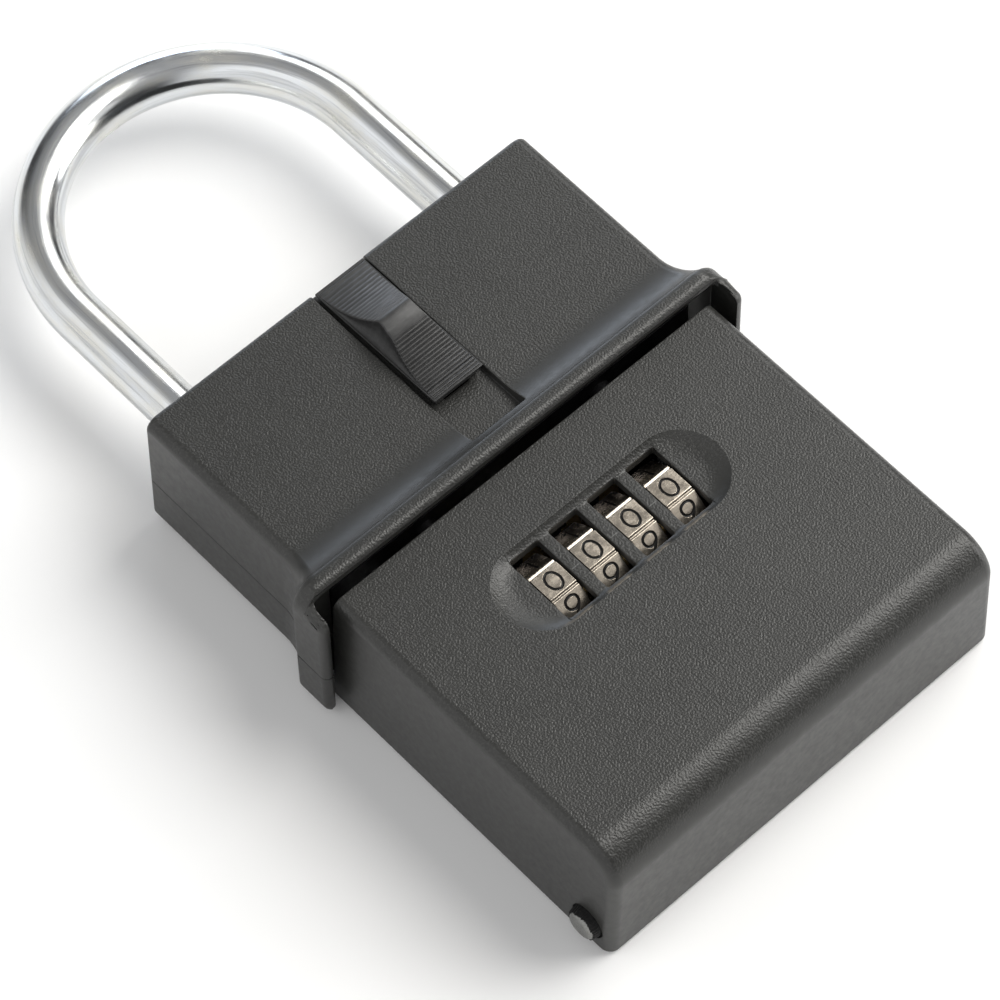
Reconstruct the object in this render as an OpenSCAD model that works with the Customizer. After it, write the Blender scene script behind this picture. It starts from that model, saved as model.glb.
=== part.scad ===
// Portable lock box: a hasp-style shackle, an upper housing with a thumb slide, and a hinged
// key door that carries four number dials.
// X is the width, +Y points to the shackle, +Z points out of the front face, and the back lies
// on Z = 0. Inside the modules, Y is measured from the line where the door meets the housing.
// The dials read 0 0 0 0 and the slide is up, so the door is free and the shackle can be lifted.

/* [Case] */
// Width of the case across its back
case_w = 76; // [72:1:86]
// Amount by which each side leans in towards the front
side_draft = 1; // [0.4:0.1:1.4]
// Thickness of the housing, back to front face
case_t = 25.4; // [25:0.2:29]
// Step from the housing's front face down to the door's front face
door_step = 0.6; // [0.2:0.1:1]
// Length of the housing above the door
house_len = 40.5; // [38:0.5:52]
// Length of the door
door_len = 58; // [54:0.2:80]
// Thickness of the side, top and bottom walls
wall = 2; // [1.8:0.1:2.4]
// Thickness of the front walls
face_wall = 2.6; // [2.4:0.1:3]
// Thickness of the back walls
back_wall = 2.2; // [1.8:0.1:2.4]
// Height of the parting line between the front and the back shell
seam_z = 10.4; // [9:0.2:13]
// Radius of the front edges along the sides
edge_r = 1.8; // [1:0.1:2.4]
// Radius of the back edges of the housing
back_r = 2.4; // [1:0.1:3]
// Radius of the door's lower front edge
door_round = 6.2; // [3:0.2:7]

/* [Collar] */
// How far the collar stands out past the back of the sides
collar_out = 3.2; // [2.6:0.1:4]
// How far the collar stands above the housing's front face
collar_rise = 2.5; // [2:0.1:3.5]
// Thickness of the collar's lip over the door
lip_wall = 1.6; // [1:0.1:2]
// Thickness of the ears beside the door
ear_wall = 1.5; // [1.2:0.1:2]
// Gap between the door's top edge and the lip above it
lip_gap = 1.2; // [0.6:0.1:2]
// How far the ears beside the door reach below the door's top edge
ear_drop = 2.6; // [1:0.1:4]
// Depth of the collar's mouth above the door's top edge
mouth_d = 2.8; // [2.4:0.1:4]
// Length of the hollow flare above the collar
flare_len = 6.6; // [4:0.2:9]

/* [Shackle] */
// Diameter of the shackle rod
rod_d = 8; // [7:0.5:9]
// Distance from the side of the case to the centre of each leg
leg_edge = 10.9; // [10.6:0.1:12.6]
// Height of the shackle above the housing
bow_h = 58.5; // [50:0.5:75]
// Height of the rod's centre above the back
rod_z = 11.6; // [10.6:0.2:13]
// Length of the toe leg inside the housing
toe_in = 13.6; // [12:0.2:14]
// Travel of the shackle when it is drawn out
shackle_lift = 14.6; // [14:0.1:15]

/* [Hinge] */
// Height of the hinge pin above the back
hinge_z = 4.4; // [4.2:0.1:4.8]
// Distance of the hinge pin from the bottom of the door
hinge_y = 4.8; // [4.8:0.1:5.4]
// Diameter of the hinge pin
pin_d = 2.6; // [2:0.1:2.6]
// Diameter of the rivet heads on the hinge pin
head_d = 5.4; // [4.6:0.1:6]
// Thickness of the rivet heads
head_t = 2; // [1.4:0.1:2.2]
// Opening angle of the door
door_open = 110; // [90:5:110]

/* [Dials] */
// Distance from one dial to the next
dial_pitch = 7.5; // [7.3:0.1:8]
// Radius of a dial across its ridges
dial_r = 8; // [7.8:0.1:8.2]
// Width of a dial
dial_w = 5.1; // [4.8:0.1:5.3]
// Distance of the dial axis below the door's top edge
dial_y = 18; // [17.8:0.1:22]
// Length of a dial window
window_l = 12.5; // [11.6:0.1:13]
// Side gap between a dial and its window
window_gap = 0.2; // [0.15:0.05:0.35]
// Length of the recess round the windows
recess_l = 41.6; // [39:0.2:46]
// Width of the recess round the windows
recess_w = 14.8; // [14.4:0.1:16]
// Depth of the recess round the windows
recess_d = 1; // [0.6:0.1:1.2]
// Diameter of the dial axle
axle_d = 4; // [3:0.1:4.2]
// Radius of the lock discs beside the dials
disc_r = 5; // [4.8:0.1:5.1]
// Distance of a lock disc's flat from the axle's centre
flat_r = 4; // [3.7:0.1:4.1]

/* [Slide and bolt] */
// Travel of the thumb slide from free to locked
slide_travel = 7.5; // [7:0.1:7.8]
// Length of the thumb slide
slide_len = 26; // [25.6:0.1:26.4]
// Width of the thumb slide at its foot
slide_w = 9.4; // [9.2:0.2:12]
// Width of the wedge on the thumb slide
wedge_w = 9; // [7.6:0.2:9]
// Width of the wedge at its crest
crest_w = 6; // [5:0.2:7]
// Height of the slide's foot above the front face at its top end
foot_top = 0.4; // [0:0.1:1]
// Height of the slide's foot above the front face at its lower end
foot_end = 1.2; // [0.4:0.1:1.6]
// Height of the crest above the housing's front face
crest_h = 5.1; // [3.5:0.1:6]
// Distance of the crest from the slide's top end
crest_y = 12.4; // [10:0.2:14]
// Length of the plain flat behind the crest
crest_len = 3.4; // [2:0.2:5]
// Number of grip ribs on the long face of the wedge
grip_ribs = 18; // [8:1:22]
// Number of fine grip ribs on the short face of the wedge
fine_ribs = 14; // [8:1:18]
// Depth of the channel that the slide runs in
channel_d = 1.2; // [0.8:0.1:1.3]
// Thickness of the bolt bar
bar_t = 1.8; // [1.4:0.1:2]
// Width of the bolt head
bolt_w = 5; // [4:0.1:5.4]
// Diameter of the case and cover screws
screw_d = 2.2; // [2:0.1:2.4]

/* [Fits] */
// Radial clearance of turning and sliding round fits
run_fit = 0.05; // [0.03:0.01:0.08]
// Gap between moving flat faces
gap = 0.3; // [0.2:0.05:0.35]

/* [Hidden] */
$fn = 48;
DIALS = 4;
FACETS = 10;

// Overall places
total_len = door_len + house_len + bow_h;
split_y = door_len - total_len / 2;
back_half = case_w / 2;
front_half = back_half - side_draft;
collar_half = back_half + collar_out;
collar_z = case_t + collar_rise;
door_t = case_t - door_step;
eps = 0.02;

// Housing interior
cav_half = front_half - wall;
cav_top = house_len - wall;
cav_front = case_t - face_wall;
collar_r = 4.4;
mouth_half = collar_half - ear_wall;
plate_t = 1.8;
plate_y = mouth_d + plate_t;

// Shackle
rod_r = rod_d / 2;
leg_x = back_half - leg_edge;
bow_y = house_len + bow_h - rod_r - leg_x;
heel_end = plate_y + 0.8;
clip_y = heel_end + 1.2;
clip_t = 1;
clip_r = rod_r + 1.2;
guide_y = clip_y + clip_t + shackle_lift + gap;
guide_in = leg_x - rod_r - 2.2;
guide_out = leg_x + rod_r + 1.8;
notch_len = 5;
notch_d = 2;
notch_y = house_len - toe_in + 3.2;
catch_t = 1.5;
catch_travel = notch_d + gap - 0.1;
catch_w = 3.4;
tab_half = 3;
tab_y = -3.6;
tab_t = 1.2;
tab_h = 4;

// Hinge and door end
pin_y = hinge_y - door_len;
pin_r = pin_d / 2;
heel_r = 9;
heel_wall = back_wall - 0.5;
barrel_r = hinge_z - heel_wall - gap;
corner_r = norm([hinge_y, hinge_z]);
tray_out = back_half - wall - side_draft * 0.45 - 0.4;
tray_in = tray_out - wall;
heel_half = tray_in - 0.4;
tray_h = 9;
arm_h = 10.6;
clear = 0.4;
seat_x = back_half - 0.7;
cav_door = door_t - face_wall;

// Dial mechanism
facet_r = dial_r * cos(180 / FACETS);
axle_r = axle_d / 2;
axle_z = door_t - recess_d - 0.2 - facet_r;
window_w = dial_w + 2 * window_gap;
disc_t = 1.2;
hub_r = 5.1;
tooth_r = 0.45;
fin_t = 1.2;
fin_top = axle_z - flat_r - 0.2;
comb_t = 0.8;
cover_t = 1.2;
comb_z = axle_z - dial_r - gap - 0.1 - comb_t;
cover_z = comb_z - 0.1 - cover_t;
fin_y = -dial_y + 3;
fin_len = 1.6;
cover_half = 21.2;
cover_top = -1.2;
cover_end = -dial_y - 13.4;
boss_r = 2.8;
lever_at = [cover_half - 11.2, cover_end + 5];
lever_r = 1.6;
boss_x = cover_half - boss_r;
boss_ys = [cover_top - 3.3, cover_end + 2.9];
comb_half = boss_x - boss_r - 0.8;
side_gap = 0.1;
cap_t = 0.8;
bracket_t = 3.1;
bracket_half = 3.2;
function dial_x(i) = (i - (DIALS + 1) / 2) * dial_pitch;

stack_in = dial_x(1) - dial_w / 2;
stack_out = dial_x(DIALS) + dial_pitch - dial_w / 2;

// Slide and bolt
slide_top = house_len - 0.6;
slide_end = slide_top - slide_len;
channel_z = case_t - channel_d;
shoe_z = channel_z + 0.15;
channel_w = slide_w + 0.8;
channel_end = slide_end - slide_travel - 1;
stem_w = 4.4;
stem_y = slide_top - 17.5;
stem_len = 7.2;
carrier_z = cav_front - 2.4;
carrier_t = 1.8;
bar_z = back_wall + 0.8;
bar_w = 6;
neck_w = 2.4;
neck_len = 2.4;
head_y = -4;
head_z = comb_z + 0.5;
head_h = 1.5;
head_over = 0.3;
screw_r = screw_d / 2;
hole_r = screw_r + 0.15;
screw_head_t = 1.1;
case_screw_x = leg_x - 15.6;
case_screw_len = 11;
case_screw_z = 1.3;
plate_boss_len = 9;
plate_screw_len = plate_t + plate_boss_len - 2;
case_screws = [for (x = [-case_screw_x, case_screw_x], y = [house_len - 5.5, plate_y + 5.6]) [x, y]];
plate_screws = [for (s = [-1, 1]) [s * (leg_x - 10.1), cav_front - 4]];
screw_ys = [stem_y + 1.8, stem_y + stem_len - 1.8];
detent_x = bar_w / 2 + 0.7;
detent_t = 0.5;
detent_top = house_len - 6;
post_len = 3.6;
post_w = 3;
post_z = 8;
web_back = 2.4;
web_t = 2;
thread_r = 0.85;

// Turns a flat outline drawn in (Y, Z) into a slab from x0 to x1
module across(x0, x1) {
    translate([x0, 0, 0]) rotate([90, 0, 90]) linear_extrude(x1 - x0) children();
}

// Moves a piece from the door line to its place in the part
module placed() {
    translate([0, split_y, 0]) children();
}

// A block given by its two corners
module block(a, b) {
    translate(a) cube(b - a);
}

// One cross-section of the housing, seen along Y, as points in X and Z
function section(half_f, half_b, top, rf, rb, n = 8) = concat(
    [for (i = [0:n]) let (a = 90 * i / n) [half_f - rf + rf * cos(a), top - rf + rf * sin(a)]],
    [for (i = [0:n]) let (a = 90 + 90 * i / n) [-half_f + rf + rf * cos(a), top - rf + rf * sin(a)]],
    [for (i = [0:n]) let (a = 180 + 90 * i / n) [-half_b + rb + rb * cos(a), rb + rb * sin(a)]],
    [for (i = [0:n]) let (a = 270 + 90 * i / n) [half_b - rb + rb * cos(a), rb + rb * sin(a)]]
);

// Cross-section at a share of the collar: 0 is the plain housing and 1 is the full collar
function shell_section(share, inset) = section(
    front_half + (collar_half - front_half) * share - inset,
    back_half - 0.4 + (collar_half - back_half + 0.4) * share - inset,
    case_t + collar_rise * share - inset,
    edge_r + (collar_r - edge_r) * share,
    back_r + inset * 0.2
);

// Hollow curve of the flare, from 0 at its start to 1 at its end
function flare(u) = (1.2 - sqrt(1.44 - u * u)) / (1.2 - sqrt(0.44));

// Solid skinned over a row of cross-sections, each given as [y, points]
module skin(rows) {
    n = len(rows[0][1]);
    last = len(rows) - 1;
    polyhedron(
        points = [for (r = rows) for (p = r[1]) [p[0], r[0], p[1]]],
        faces = concat(
            [[for (i = [0:n - 1]) i]],
            [[for (i = [n - 1:-1:0]) last * n + i]],
            [for (k = [0:last - 1]) for (i = [0:n - 1]) let (j = (i + 1) % n)
                each [[k * n + i, (k + 1) * n + i, (k + 1) * n + j],
                      [k * n + i, (k + 1) * n + j, k * n + j]]]
        )
    );
}

// Outer form of the two housing shells together, with flare and collar
module housing_form() {
    crown = 0.8;
    bead_y = plate_y - 0.3;
    steps = 7;
    skin(concat(
        [for (a = [90:-30:0]) [house_len - crown + crown * sin(a), shell_section(0, crown * (1 - cos(a)))]],
        [for (i = [0:steps]) let (u = i / steps)
            [bead_y + flare_len * (1 - u), shell_section(0.8 * flare(u), 0)]],
        [[bead_y - 0.25, shell_section(0.93, 0)],
         [bead_y - 0.7, shell_section(1, 0)],
         [-ear_drop, shell_section(1, 0)]]
    ));
}

// Side view of what the collar keeps: a round-nosed lip in front, ears that slope away beside the door
module collar_side() {
    tip = 2.2;
    edge = 0.8;
    nose = lip_wall * 0.85;
    lip_z = collar_z - lip_wall;
    far = house_len + 10;
    hull() {
        translate([tip - ear_drop, tip]) circle(tip);
        translate([edge - ear_drop, door_t + 0.2 - edge]) circle(edge);
        translate([lip_gap, tip]) square([far, lip_z + 0.1 - tip]);
    }
    translate([tip - ear_drop, -1]) square([far, tip + 1]);
    translate([lip_gap, lip_z]) square([far, lip_wall - nose]);
    translate([lip_gap + nose, lip_z]) square([far, lip_wall + 1]);
    translate([lip_gap + nose, collar_z - nose - eps]) circle(nose);
}

// Mouth that the door closes: open to the back, with the collar's round corners in front
module mouth() {
    translate([0, mouth_d, 0]) rotate([90, 0, 0]) linear_extrude(mouth_d + ear_drop + 1) {
        polygon(section(mouth_half, mouth_half, collar_z - lip_wall, collar_r - ear_wall, 1));
        translate([-mouth_half, -1]) square([2 * mouth_half, seam_z]);
    }
}

// The housing with its mouth open to the door
module housing_body() {
    difference() {
        intersection() {
            housing_form();
            across(-collar_half - 1, collar_half + 1) collar_side();
        }
        block([-cav_half, mouth_d - 1, back_wall], [cav_half, cav_top, cav_front]);
        mouth();
        for (s = [-1, 1])
            translate([s * leg_x, cav_top - 1, rod_z]) rotate([-90, 0, 0])
                cylinder(r = rod_r + gap, h = wall + 2);
    }
}

module rear_shell() {
    color([0.17, 0.17, 0.17]) placed() difference() {
        union() {
            intersection() {
                housing_body();
                block([-collar_half - 1, -ear_drop - 1, -1], [collar_half + 1, house_len + 1, seam_z]);
            }
            difference() {
                union() {
                    block([-tray_out, pin_y, 0], [tray_out, mouth_d + 1, back_wall]);
                    for (s = [0, 1])
                        mirror([s, 0, 0]) block([tray_in, pin_y, 0], [tray_out, mouth_d, tray_h]);
                }
                across(-tray_out - 1, tray_out + 1) translate([pin_y, hinge_z]) circle(heel_r + gap);
            }
            for (s = [0, 1])
                mirror([s, 0, 0]) across(tray_in, tray_out) hinge_arm();
        }
        across(-tray_out - 1, tray_out + 1) translate([pin_y, hinge_z]) circle(pin_r + 0.01);
        for (p = case_screws) translate([p[0], p[1], -1]) {
            cylinder(r = hole_r, h = back_wall + 2);
            cylinder(r = screw_d + 0.15, h = case_screw_z + 1);
        }
    }
}

// Side view of a hinge arm: it clears the door's swinging corner and ends in an eye round the pin
module hinge_arm() {
    reach = heel_r + gap + 1;
    turn = door_open - 90 + 4;
    translate([pin_y, hinge_z]) circle(barrel_r);
    difference() {
        union() {
            translate([pin_y - barrel_r, hinge_z]) square([barrel_r + reach, arm_h - hinge_z]);
            translate([pin_y, 0]) square([reach, hinge_z + eps]);
        }
        translate([pin_y, hinge_z]) difference() {
            circle(corner_r + gap);
            circle(barrel_r - eps);
            polygon([[0, 0], for (a = [turn, 60, 120]) 30 * [cos(a), sin(a)]]);
        }
    }
}

module front_shell() {
    slot_y = stem_y - slide_travel - gap;
    color([0.2, 0.2, 0.2]) placed() difference() {
        union() {
            intersection() {
                housing_body();
                block([-collar_half - 1, -ear_drop - 1, seam_z],
                      [collar_half + 1, house_len + 1, collar_z + 1]);
            }
            for (p = case_screws)
                translate([p[0], p[1], back_wall]) cylinder(r = boss_r, h = cav_front - back_wall + eps);
            for (p = plate_screws)
                block([p[0] - boss_r, plate_y, p[1] - boss_r],
                      [p[0] + boss_r, plate_y + plate_boss_len, cav_front + eps]);
            block([detent_x + detent_t, detent_top - post_len, post_z],
                  [detent_x + detent_t + post_w, detent_top, cav_front + eps]);
        }
        block([-channel_w / 2, channel_end, channel_z], [channel_w / 2, house_len + 1, collar_z + 1]);
        block([-stem_w / 2 - gap, slot_y, cav_front - 1],
              [stem_w / 2 + gap, stem_y + stem_len + gap, case_t]);
        for (p = case_screws)
            translate([p[0], p[1], 1]) cylinder(r = screw_r + run_fit, h = case_screw_len + 2);
        for (p = plate_screws) translate([p[0], mouth_d, p[1]]) rotate([-90, 0, 0])
            cylinder(r = screw_r + run_fit, h = plate_screw_len + 1);
    }
}

// Steel plate that closes the bottom of the housing, with ways for the bolt and the catch
module bulkhead() {
    side = cav_half - 0.2;
    color([0.6, 0.61, 0.62]) placed() difference() {
        block([-side, mouth_d, back_wall + 0.1], [side, plate_y, cav_front - 0.2]);
        block([-bar_w / 2 - gap, mouth_d - 1, 0], [bar_w / 2 + gap, plate_y + 1, bar_z + bar_t + gap]);
        block([-leg_x - tab_half - catch_travel - gap, mouth_d - 1, rod_z - catch_t / 2 - gap],
              [-leg_x + tab_half + gap, plate_y + 1, rod_z + catch_t / 2 + gap]);
        for (p = plate_screws) translate([p[0], mouth_d - 1, p[1]]) rotate([-90, 0, 0])
            cylinder(r = hole_r, h = plate_t + 2);
    }
}

// A cross-recessed screw along +Z with its head below Z = 0
module screw(length, cap_h) {
    difference() {
        union() {
            cylinder(r = screw_r, h = length);
            translate([0, 0, -cap_h]) cylinder(r = screw_d * 0.9, h = cap_h);
        }
        for (a = [0, 90]) rotate(a) translate([-1.2, -0.25, -cap_h - 1]) cube([2.4, 0.5, 1.6]);
    }
}

module bulkhead_screws() {
    color([0.75, 0.75, 0.76]) placed()
        for (p = plate_screws)
            translate([p[0], mouth_d, p[1]]) rotate([-90, 0, 0]) screw(plate_screw_len, screw_head_t);
}

module housing_screws() {
    color([0.75, 0.75, 0.76]) placed()
        for (p = case_screws) translate([p[0], p[1], case_screw_z]) screw(case_screw_len, screw_head_t);
}

// Cast block round one leg of the shackle
module leg_guide(side) {
    difference() {
        block([side < 0 ? -guide_out : guide_in, guide_y, back_wall],
              [side < 0 ? -guide_in : guide_out, cav_top, cav_front]);
        translate([side * leg_x, guide_y - 1, rod_z]) rotate([-90, 0, 0])
            cylinder(r = rod_r + run_fit, h = house_len);
        for (z = [back_wall + 3.2, cav_front - 3.2])
            translate([side * (guide_in + guide_out) / 2, guide_y - 1, z]) rotate([-90, 0, 0])
                cylinder(r = 1.4, h = cav_top - guide_y - 2);
    }
}

module toe_guide() {
    color([0.62, 0.62, 0.6]) placed() difference() {
        leg_guide(-1);
        block([-leg_x, notch_y + 0.3, rod_z - catch_t / 2 - gap],
              [-guide_in + 1, notch_y + notch_len - 0.3, rod_z + catch_t / 2 + gap]);
    }
}

module heel_guide() {
    color([0.62, 0.62, 0.6]) placed() leg_guide(1);
}

module shackle() {
    toe_end = house_len - toe_in;
    nose = 1;
    color([0.82, 0.83, 0.85]) placed() difference() {
        union() {
            translate([0, bow_y, rod_z]) rotate_extrude(angle = 180) translate([leg_x, 0]) circle(rod_r);
            for (leg = [[-leg_x, toe_end], [leg_x, heel_end]]) translate([leg[0], leg[1], rod_z])
                rotate([-90, 0, 0]) rotate_extrude()
                    polygon([[0, 0], [rod_r - nose, 0], [rod_r, nose],
                             [rod_r, bow_y - leg[1] + eps], [0, bow_y - leg[1] + eps]]);
        }
        block([-leg_x + rod_r - notch_d, notch_y, rod_z - rod_r - 1],
              [-leg_x + rod_r + 1, notch_y + notch_len, rod_z + rod_r + 1]);
        translate([leg_x, clip_y, rod_z]) rotate([-90, 0, 0]) difference() {
            cylinder(r = rod_r + 1, h = clip_t);
            translate([0, 0, -1]) cylinder(r = rod_r - 1, h = clip_t + 2);
        }
    }
}

// Snap ring in the groove of the heel leg, which keeps the leg in the housing
module heel_clip() {
    color([0.35, 0.36, 0.38]) placed() translate([leg_x, clip_y, rod_z]) rotate([-90, 0, 0])
        difference() {
            cylinder(r = clip_r, h = clip_t);
            translate([0, 0, -1]) cylinder(r = rod_r - 1, h = clip_t + 2);
            translate([-1.3, -clip_r - 1, -1]) cube([2.6, clip_r + 1, clip_t + 2]);
        }
}

// Flat steel catch: its tip enters the toe leg's notch and its tab shows in the key compartment
module shackle_catch() {
    tip_x = -leg_x + rod_r + gap;
    arm_x = -guide_in + catch_travel + gap;
    arm_end = arm_x + catch_w;
    low = rod_z - catch_t / 2;
    high = rod_z + catch_t / 2;
    tip_y = notch_y + 0.7;
    tip_end = notch_y + notch_len - 0.7;
    yoke_y = plate_y + 9;
    yoke_end = yoke_y + 5;
    color([0.68, 0.69, 0.7]) placed() {
        block([tip_x, tip_y, low], [arm_end, tip_end, high]);
        block([arm_x, yoke_y, low], [arm_end, tip_end, high]);
        block([-leg_x - tab_half, yoke_y, low], [arm_end, yoke_end, high]);
        block([-leg_x - tab_half, tab_y, low], [-leg_x + tab_half, yoke_end, high]);
        block([-leg_x - tab_half, tab_y, low], [-leg_x + tab_half, tab_y + tab_t, high + tab_h]);
    }
}

// Points on a hollow arc from a to b, sagging by the given amount, with saw-tooth ribs cut in
function hollow(a, b, sag, n, rib) = let (d = b - a, l = norm(d), nrm = [d[1], -d[0]] / l)
    [for (i = [0:2 * n]) let (u = i / (2 * n))
        a + d * u + nrm * (4 * sag * u * (1 - u) + (i % 2 == 1 ? rib : 0))];

// Side view of the wedge: short hollow face, plain crest, long hollow ribbed face
module wedge_side() {
    top = [slide_top - 0.5, case_t + foot_top];
    crest = [slide_top - crest_y, case_t + crest_h];
    flat_end = [crest[0] - crest_len, crest[1] - 0.9];
    foot = [slide_end, case_t + foot_end];
    polygon(concat(
        [[slide_end, case_t - 0.5], [slide_top - 0.5, case_t - 0.5]],
        hollow(top, crest, -1.0, fine_ribs, -0.09),
        hollow(flat_end, foot, -0.8, grip_ribs, -0.22)
    ));
}

module thumb_slide() {
    lean = (wedge_w - crest_w) / 2;
    top = case_t + crest_h;
    base = case_t + foot_end;
    color([0.19, 0.19, 0.2]) placed() difference() {
        union() {
            across(-slide_w / 2, slide_w / 2)
                polygon([[slide_end, shoe_z], [slide_top, shoe_z], [slide_top, case_t + foot_top],
                         [slide_end, case_t + foot_end]]);
            intersection() {
                across(-wedge_w / 2, wedge_w / 2) wedge_side();
                translate([0, slide_top, 0]) rotate([90, 0, 0]) linear_extrude(slide_len + 1)
                    polygon([[-wedge_w, shoe_z], [wedge_w, shoe_z], [wedge_w, base], [wedge_w / 2, base],
                             [wedge_w / 2 - lean, top + eps], [-wedge_w / 2 + lean, top + eps],
                             [-wedge_w / 2, base], [-wedge_w, base]]);
            }
            block([-stem_w / 2, stem_y, carrier_z], [stem_w / 2, stem_y + stem_len, shoe_z + eps]);
        }
        for (y = screw_ys)
            translate([0, y, carrier_z - 1]) cylinder(r = thread_r, h = channel_z - carrier_z + 0.8);
    }
}

// Cast carrier behind the slide: plate, web and bar, with a neck and a wide head for the door
module bolt_carrier() {
    plate_half = stem_w / 2 + 1.8;
    web_y = stem_y - web_back;
    bottom = head_y - neck_len / 2;
    color([0.63, 0.63, 0.61]) placed() difference() {
        union() {
            block([-plate_half, web_y, carrier_z - carrier_t], [plate_half, stem_y + stem_len, carrier_z]);
            block([-bar_w / 2, web_y, bar_z], [bar_w / 2, web_y + web_t, carrier_z]);
            block([-bar_w / 2, bottom, bar_z], [bar_w / 2, web_y + web_t, bar_z + bar_t]);
            block([-neck_w / 2, bottom, bar_z], [neck_w / 2, bottom + neck_len, head_z + eps]);
            block([-bolt_w / 2, bottom - head_over, head_z],
                  [bolt_w / 2, bottom + neck_len + head_over, head_z + head_h]);
        }
        for (y = screw_ys)
            translate([0, y, carrier_z - carrier_t - 1]) cylinder(r = thread_r + 0.15, h = carrier_t + 2);
    }
}

module carrier_screws() {
    color([0.75, 0.75, 0.76]) placed()
        for (y = screw_ys)
            translate([0, y, carrier_z - carrier_t]) {
                cylinder(r = thread_r - run_fit, h = carrier_t + 3);
                translate([0, 0, -1]) cylinder(r = 1.5, h = 1);
            }
}

// Leaf spring that holds the slide in its end positions by two shallow waves
module detent_spring() {
    low = 12;
    high = 16;
    color([0.7, 0.7, 0.72]) placed() {
        block([detent_x, plate_y + 3, low], [detent_x + detent_t, detent_top, high]);
        for (y = [stem_y - 1, stem_y - 1 - slide_travel])
            translate([detent_x + detent_t / 2, y, low]) cylinder(r = detent_t, h = high - low);
    }
}

// Ring with a rounded rim whose hull gives the door its soft edges
module soft_disc(r, f) {
    rotate([0, 90, 0]) rotate_extrude($fn = 64) translate([r - f, 0]) circle(f, $fn = 24);
}

// Outer form of the door: one hull of soft discs, upright rods at the back corners and lying rods on top
module door_form() {
    hull() {
        for (s = [-1, 1]) {
            translate([s * (front_half - edge_r), door_round - door_len, door_t - door_round])
                soft_disc(door_round, edge_r);
            translate([s * (back_half - edge_r), edge_r - door_len, 0]) {
                cylinder(r = edge_r - 0.4, h = 1, $fn = 32);
                translate([0, 0, 0.4]) cylinder(r = edge_r, h = 1, $fn = 32);
            }
            translate([s * (front_half - edge_r), -2, door_t - edge_r]) rotate([-90, 0, 0]) {
                cylinder(r = edge_r, h = 1.7, $fn = 32);
                cylinder(r = edge_r - 0.3, h = 2, $fn = 32);
            }
            translate([s * (back_half - 0.6), -2, 0.6]) rotate([-90, 0, 0])
                cylinder(r = 0.6, h = 2, $fn = 16);
        }
    }
}

// Obround dish: sloped walls down to a flat floor, ready to be cut from the door's face
module dish() {
    end_r = recess_w / 2;
    floor_r = end_r - 1.9;
    straight = recess_l - recess_w;
    profile = [[0, 1], [end_r, 1], [end_r, -0.25], [end_r - 0.5, -0.62], [end_r - 1.1, -0.86],
               [floor_r, -1], [0, -1]];
    scaled = [for (p = profile) [p[0], p[1] < 0 ? p[1] * recess_d : p[1]]];
    for (s = [-1, 1]) translate([s * straight / 2, 0, 0]) rotate_extrude($fn = 64) polygon(scaled);
    for (side = [0, 1]) mirror([0, side, 0]) translate([-straight / 2, 0, 0])
        rotate([90, 0, 90]) linear_extrude(straight) polygon([for (p = scaled) [p[0], p[1]]]);
}

module door_shell() {
    low_half = back_half - wall;
    high_half = front_half - wall;
    color([0.2, 0.2, 0.2]) placed() difference() {
        union() {
            difference() {
                door_form();
                // Room inside, open to the back above the heel
                intersection() {
                    translate([0, 2, 0]) rotate([90, 0, 0]) linear_extrude(door_len + 4)
                        polygon([[-low_half, -1], [low_half, -1],
                                 [high_half, cav_door], [-high_half, cav_door]]);
                    across(-back_half, back_half) difference() {
                        translate([wall - door_len, -1]) square([door_len + 2, cav_door + 1]);
                        difference() {
                            translate([-door_len, -2]) square([hinge_y + heel_r, 2 + heel_wall]);
                            translate([pin_y + heel_r, -2]) square([heel_r, 9]);
                            difference() {
                                translate([pin_y, -3]) square([heel_r + 1, 3 + hinge_z]);
                                translate([pin_y, hinge_z]) circle(heel_r);
                            }
                        }
                    }
                }
                // Slots beside the heel, where the hinge arms reach in
                for (s = [0, 1])
                    mirror([s, 0, 0])
                        block([heel_half, pin_y - gap, -1], [low_half, pin_y + heel_r + 1, heel_wall + 1]);
            }
            // Bosses for the cover screws
            for (s = [-1, 1], y = boss_ys)
                translate([s * boss_x, y, cover_z + cover_t])
                    cylinder(r = boss_r, h = cav_door - cover_z - cover_t + eps);
            // Brackets for the axle
            for (x = [stack_in - side_gap - bracket_t, stack_out + side_gap])
                block([x, -dial_y - bracket_half, axle_z - bracket_half],
                      [x + bracket_t, -dial_y + bracket_half, cav_door + eps]);
        }
        translate([0, -dial_y, door_t]) dish();
        for (i = [1:DIALS])
            block([dial_x(i) - window_w / 2, -dial_y - window_l / 2, cav_door - 1],
                  [dial_x(i) + window_w / 2, -dial_y + window_l / 2, door_t + 1]);
        // Axle bore
        translate([-cover_half, -dial_y, axle_z]) rotate([0, 90, 0])
            cylinder(r = axle_r + 0.02, h = 2 * cover_half);
        for (s = [-1, 1], y = boss_ys)
            translate([s * boss_x, y, cover_z - 1]) cylinder(r = screw_r + run_fit, h = 9);
        // Hinge pin bore, with a flat seat under each rivet head
        translate([0, pin_y, hinge_z]) rotate([0, 90, 0])
            cylinder(r = pin_r + run_fit, h = 2 * back_half + 4, center = true);
        for (s = [-1, 1]) translate([s * (seat_x + 2), pin_y, hinge_z]) rotate([0, 90, 0])
            cylinder(r = head_d / 2 + 0.5, h = 4, center = true);
    }
}

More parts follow.
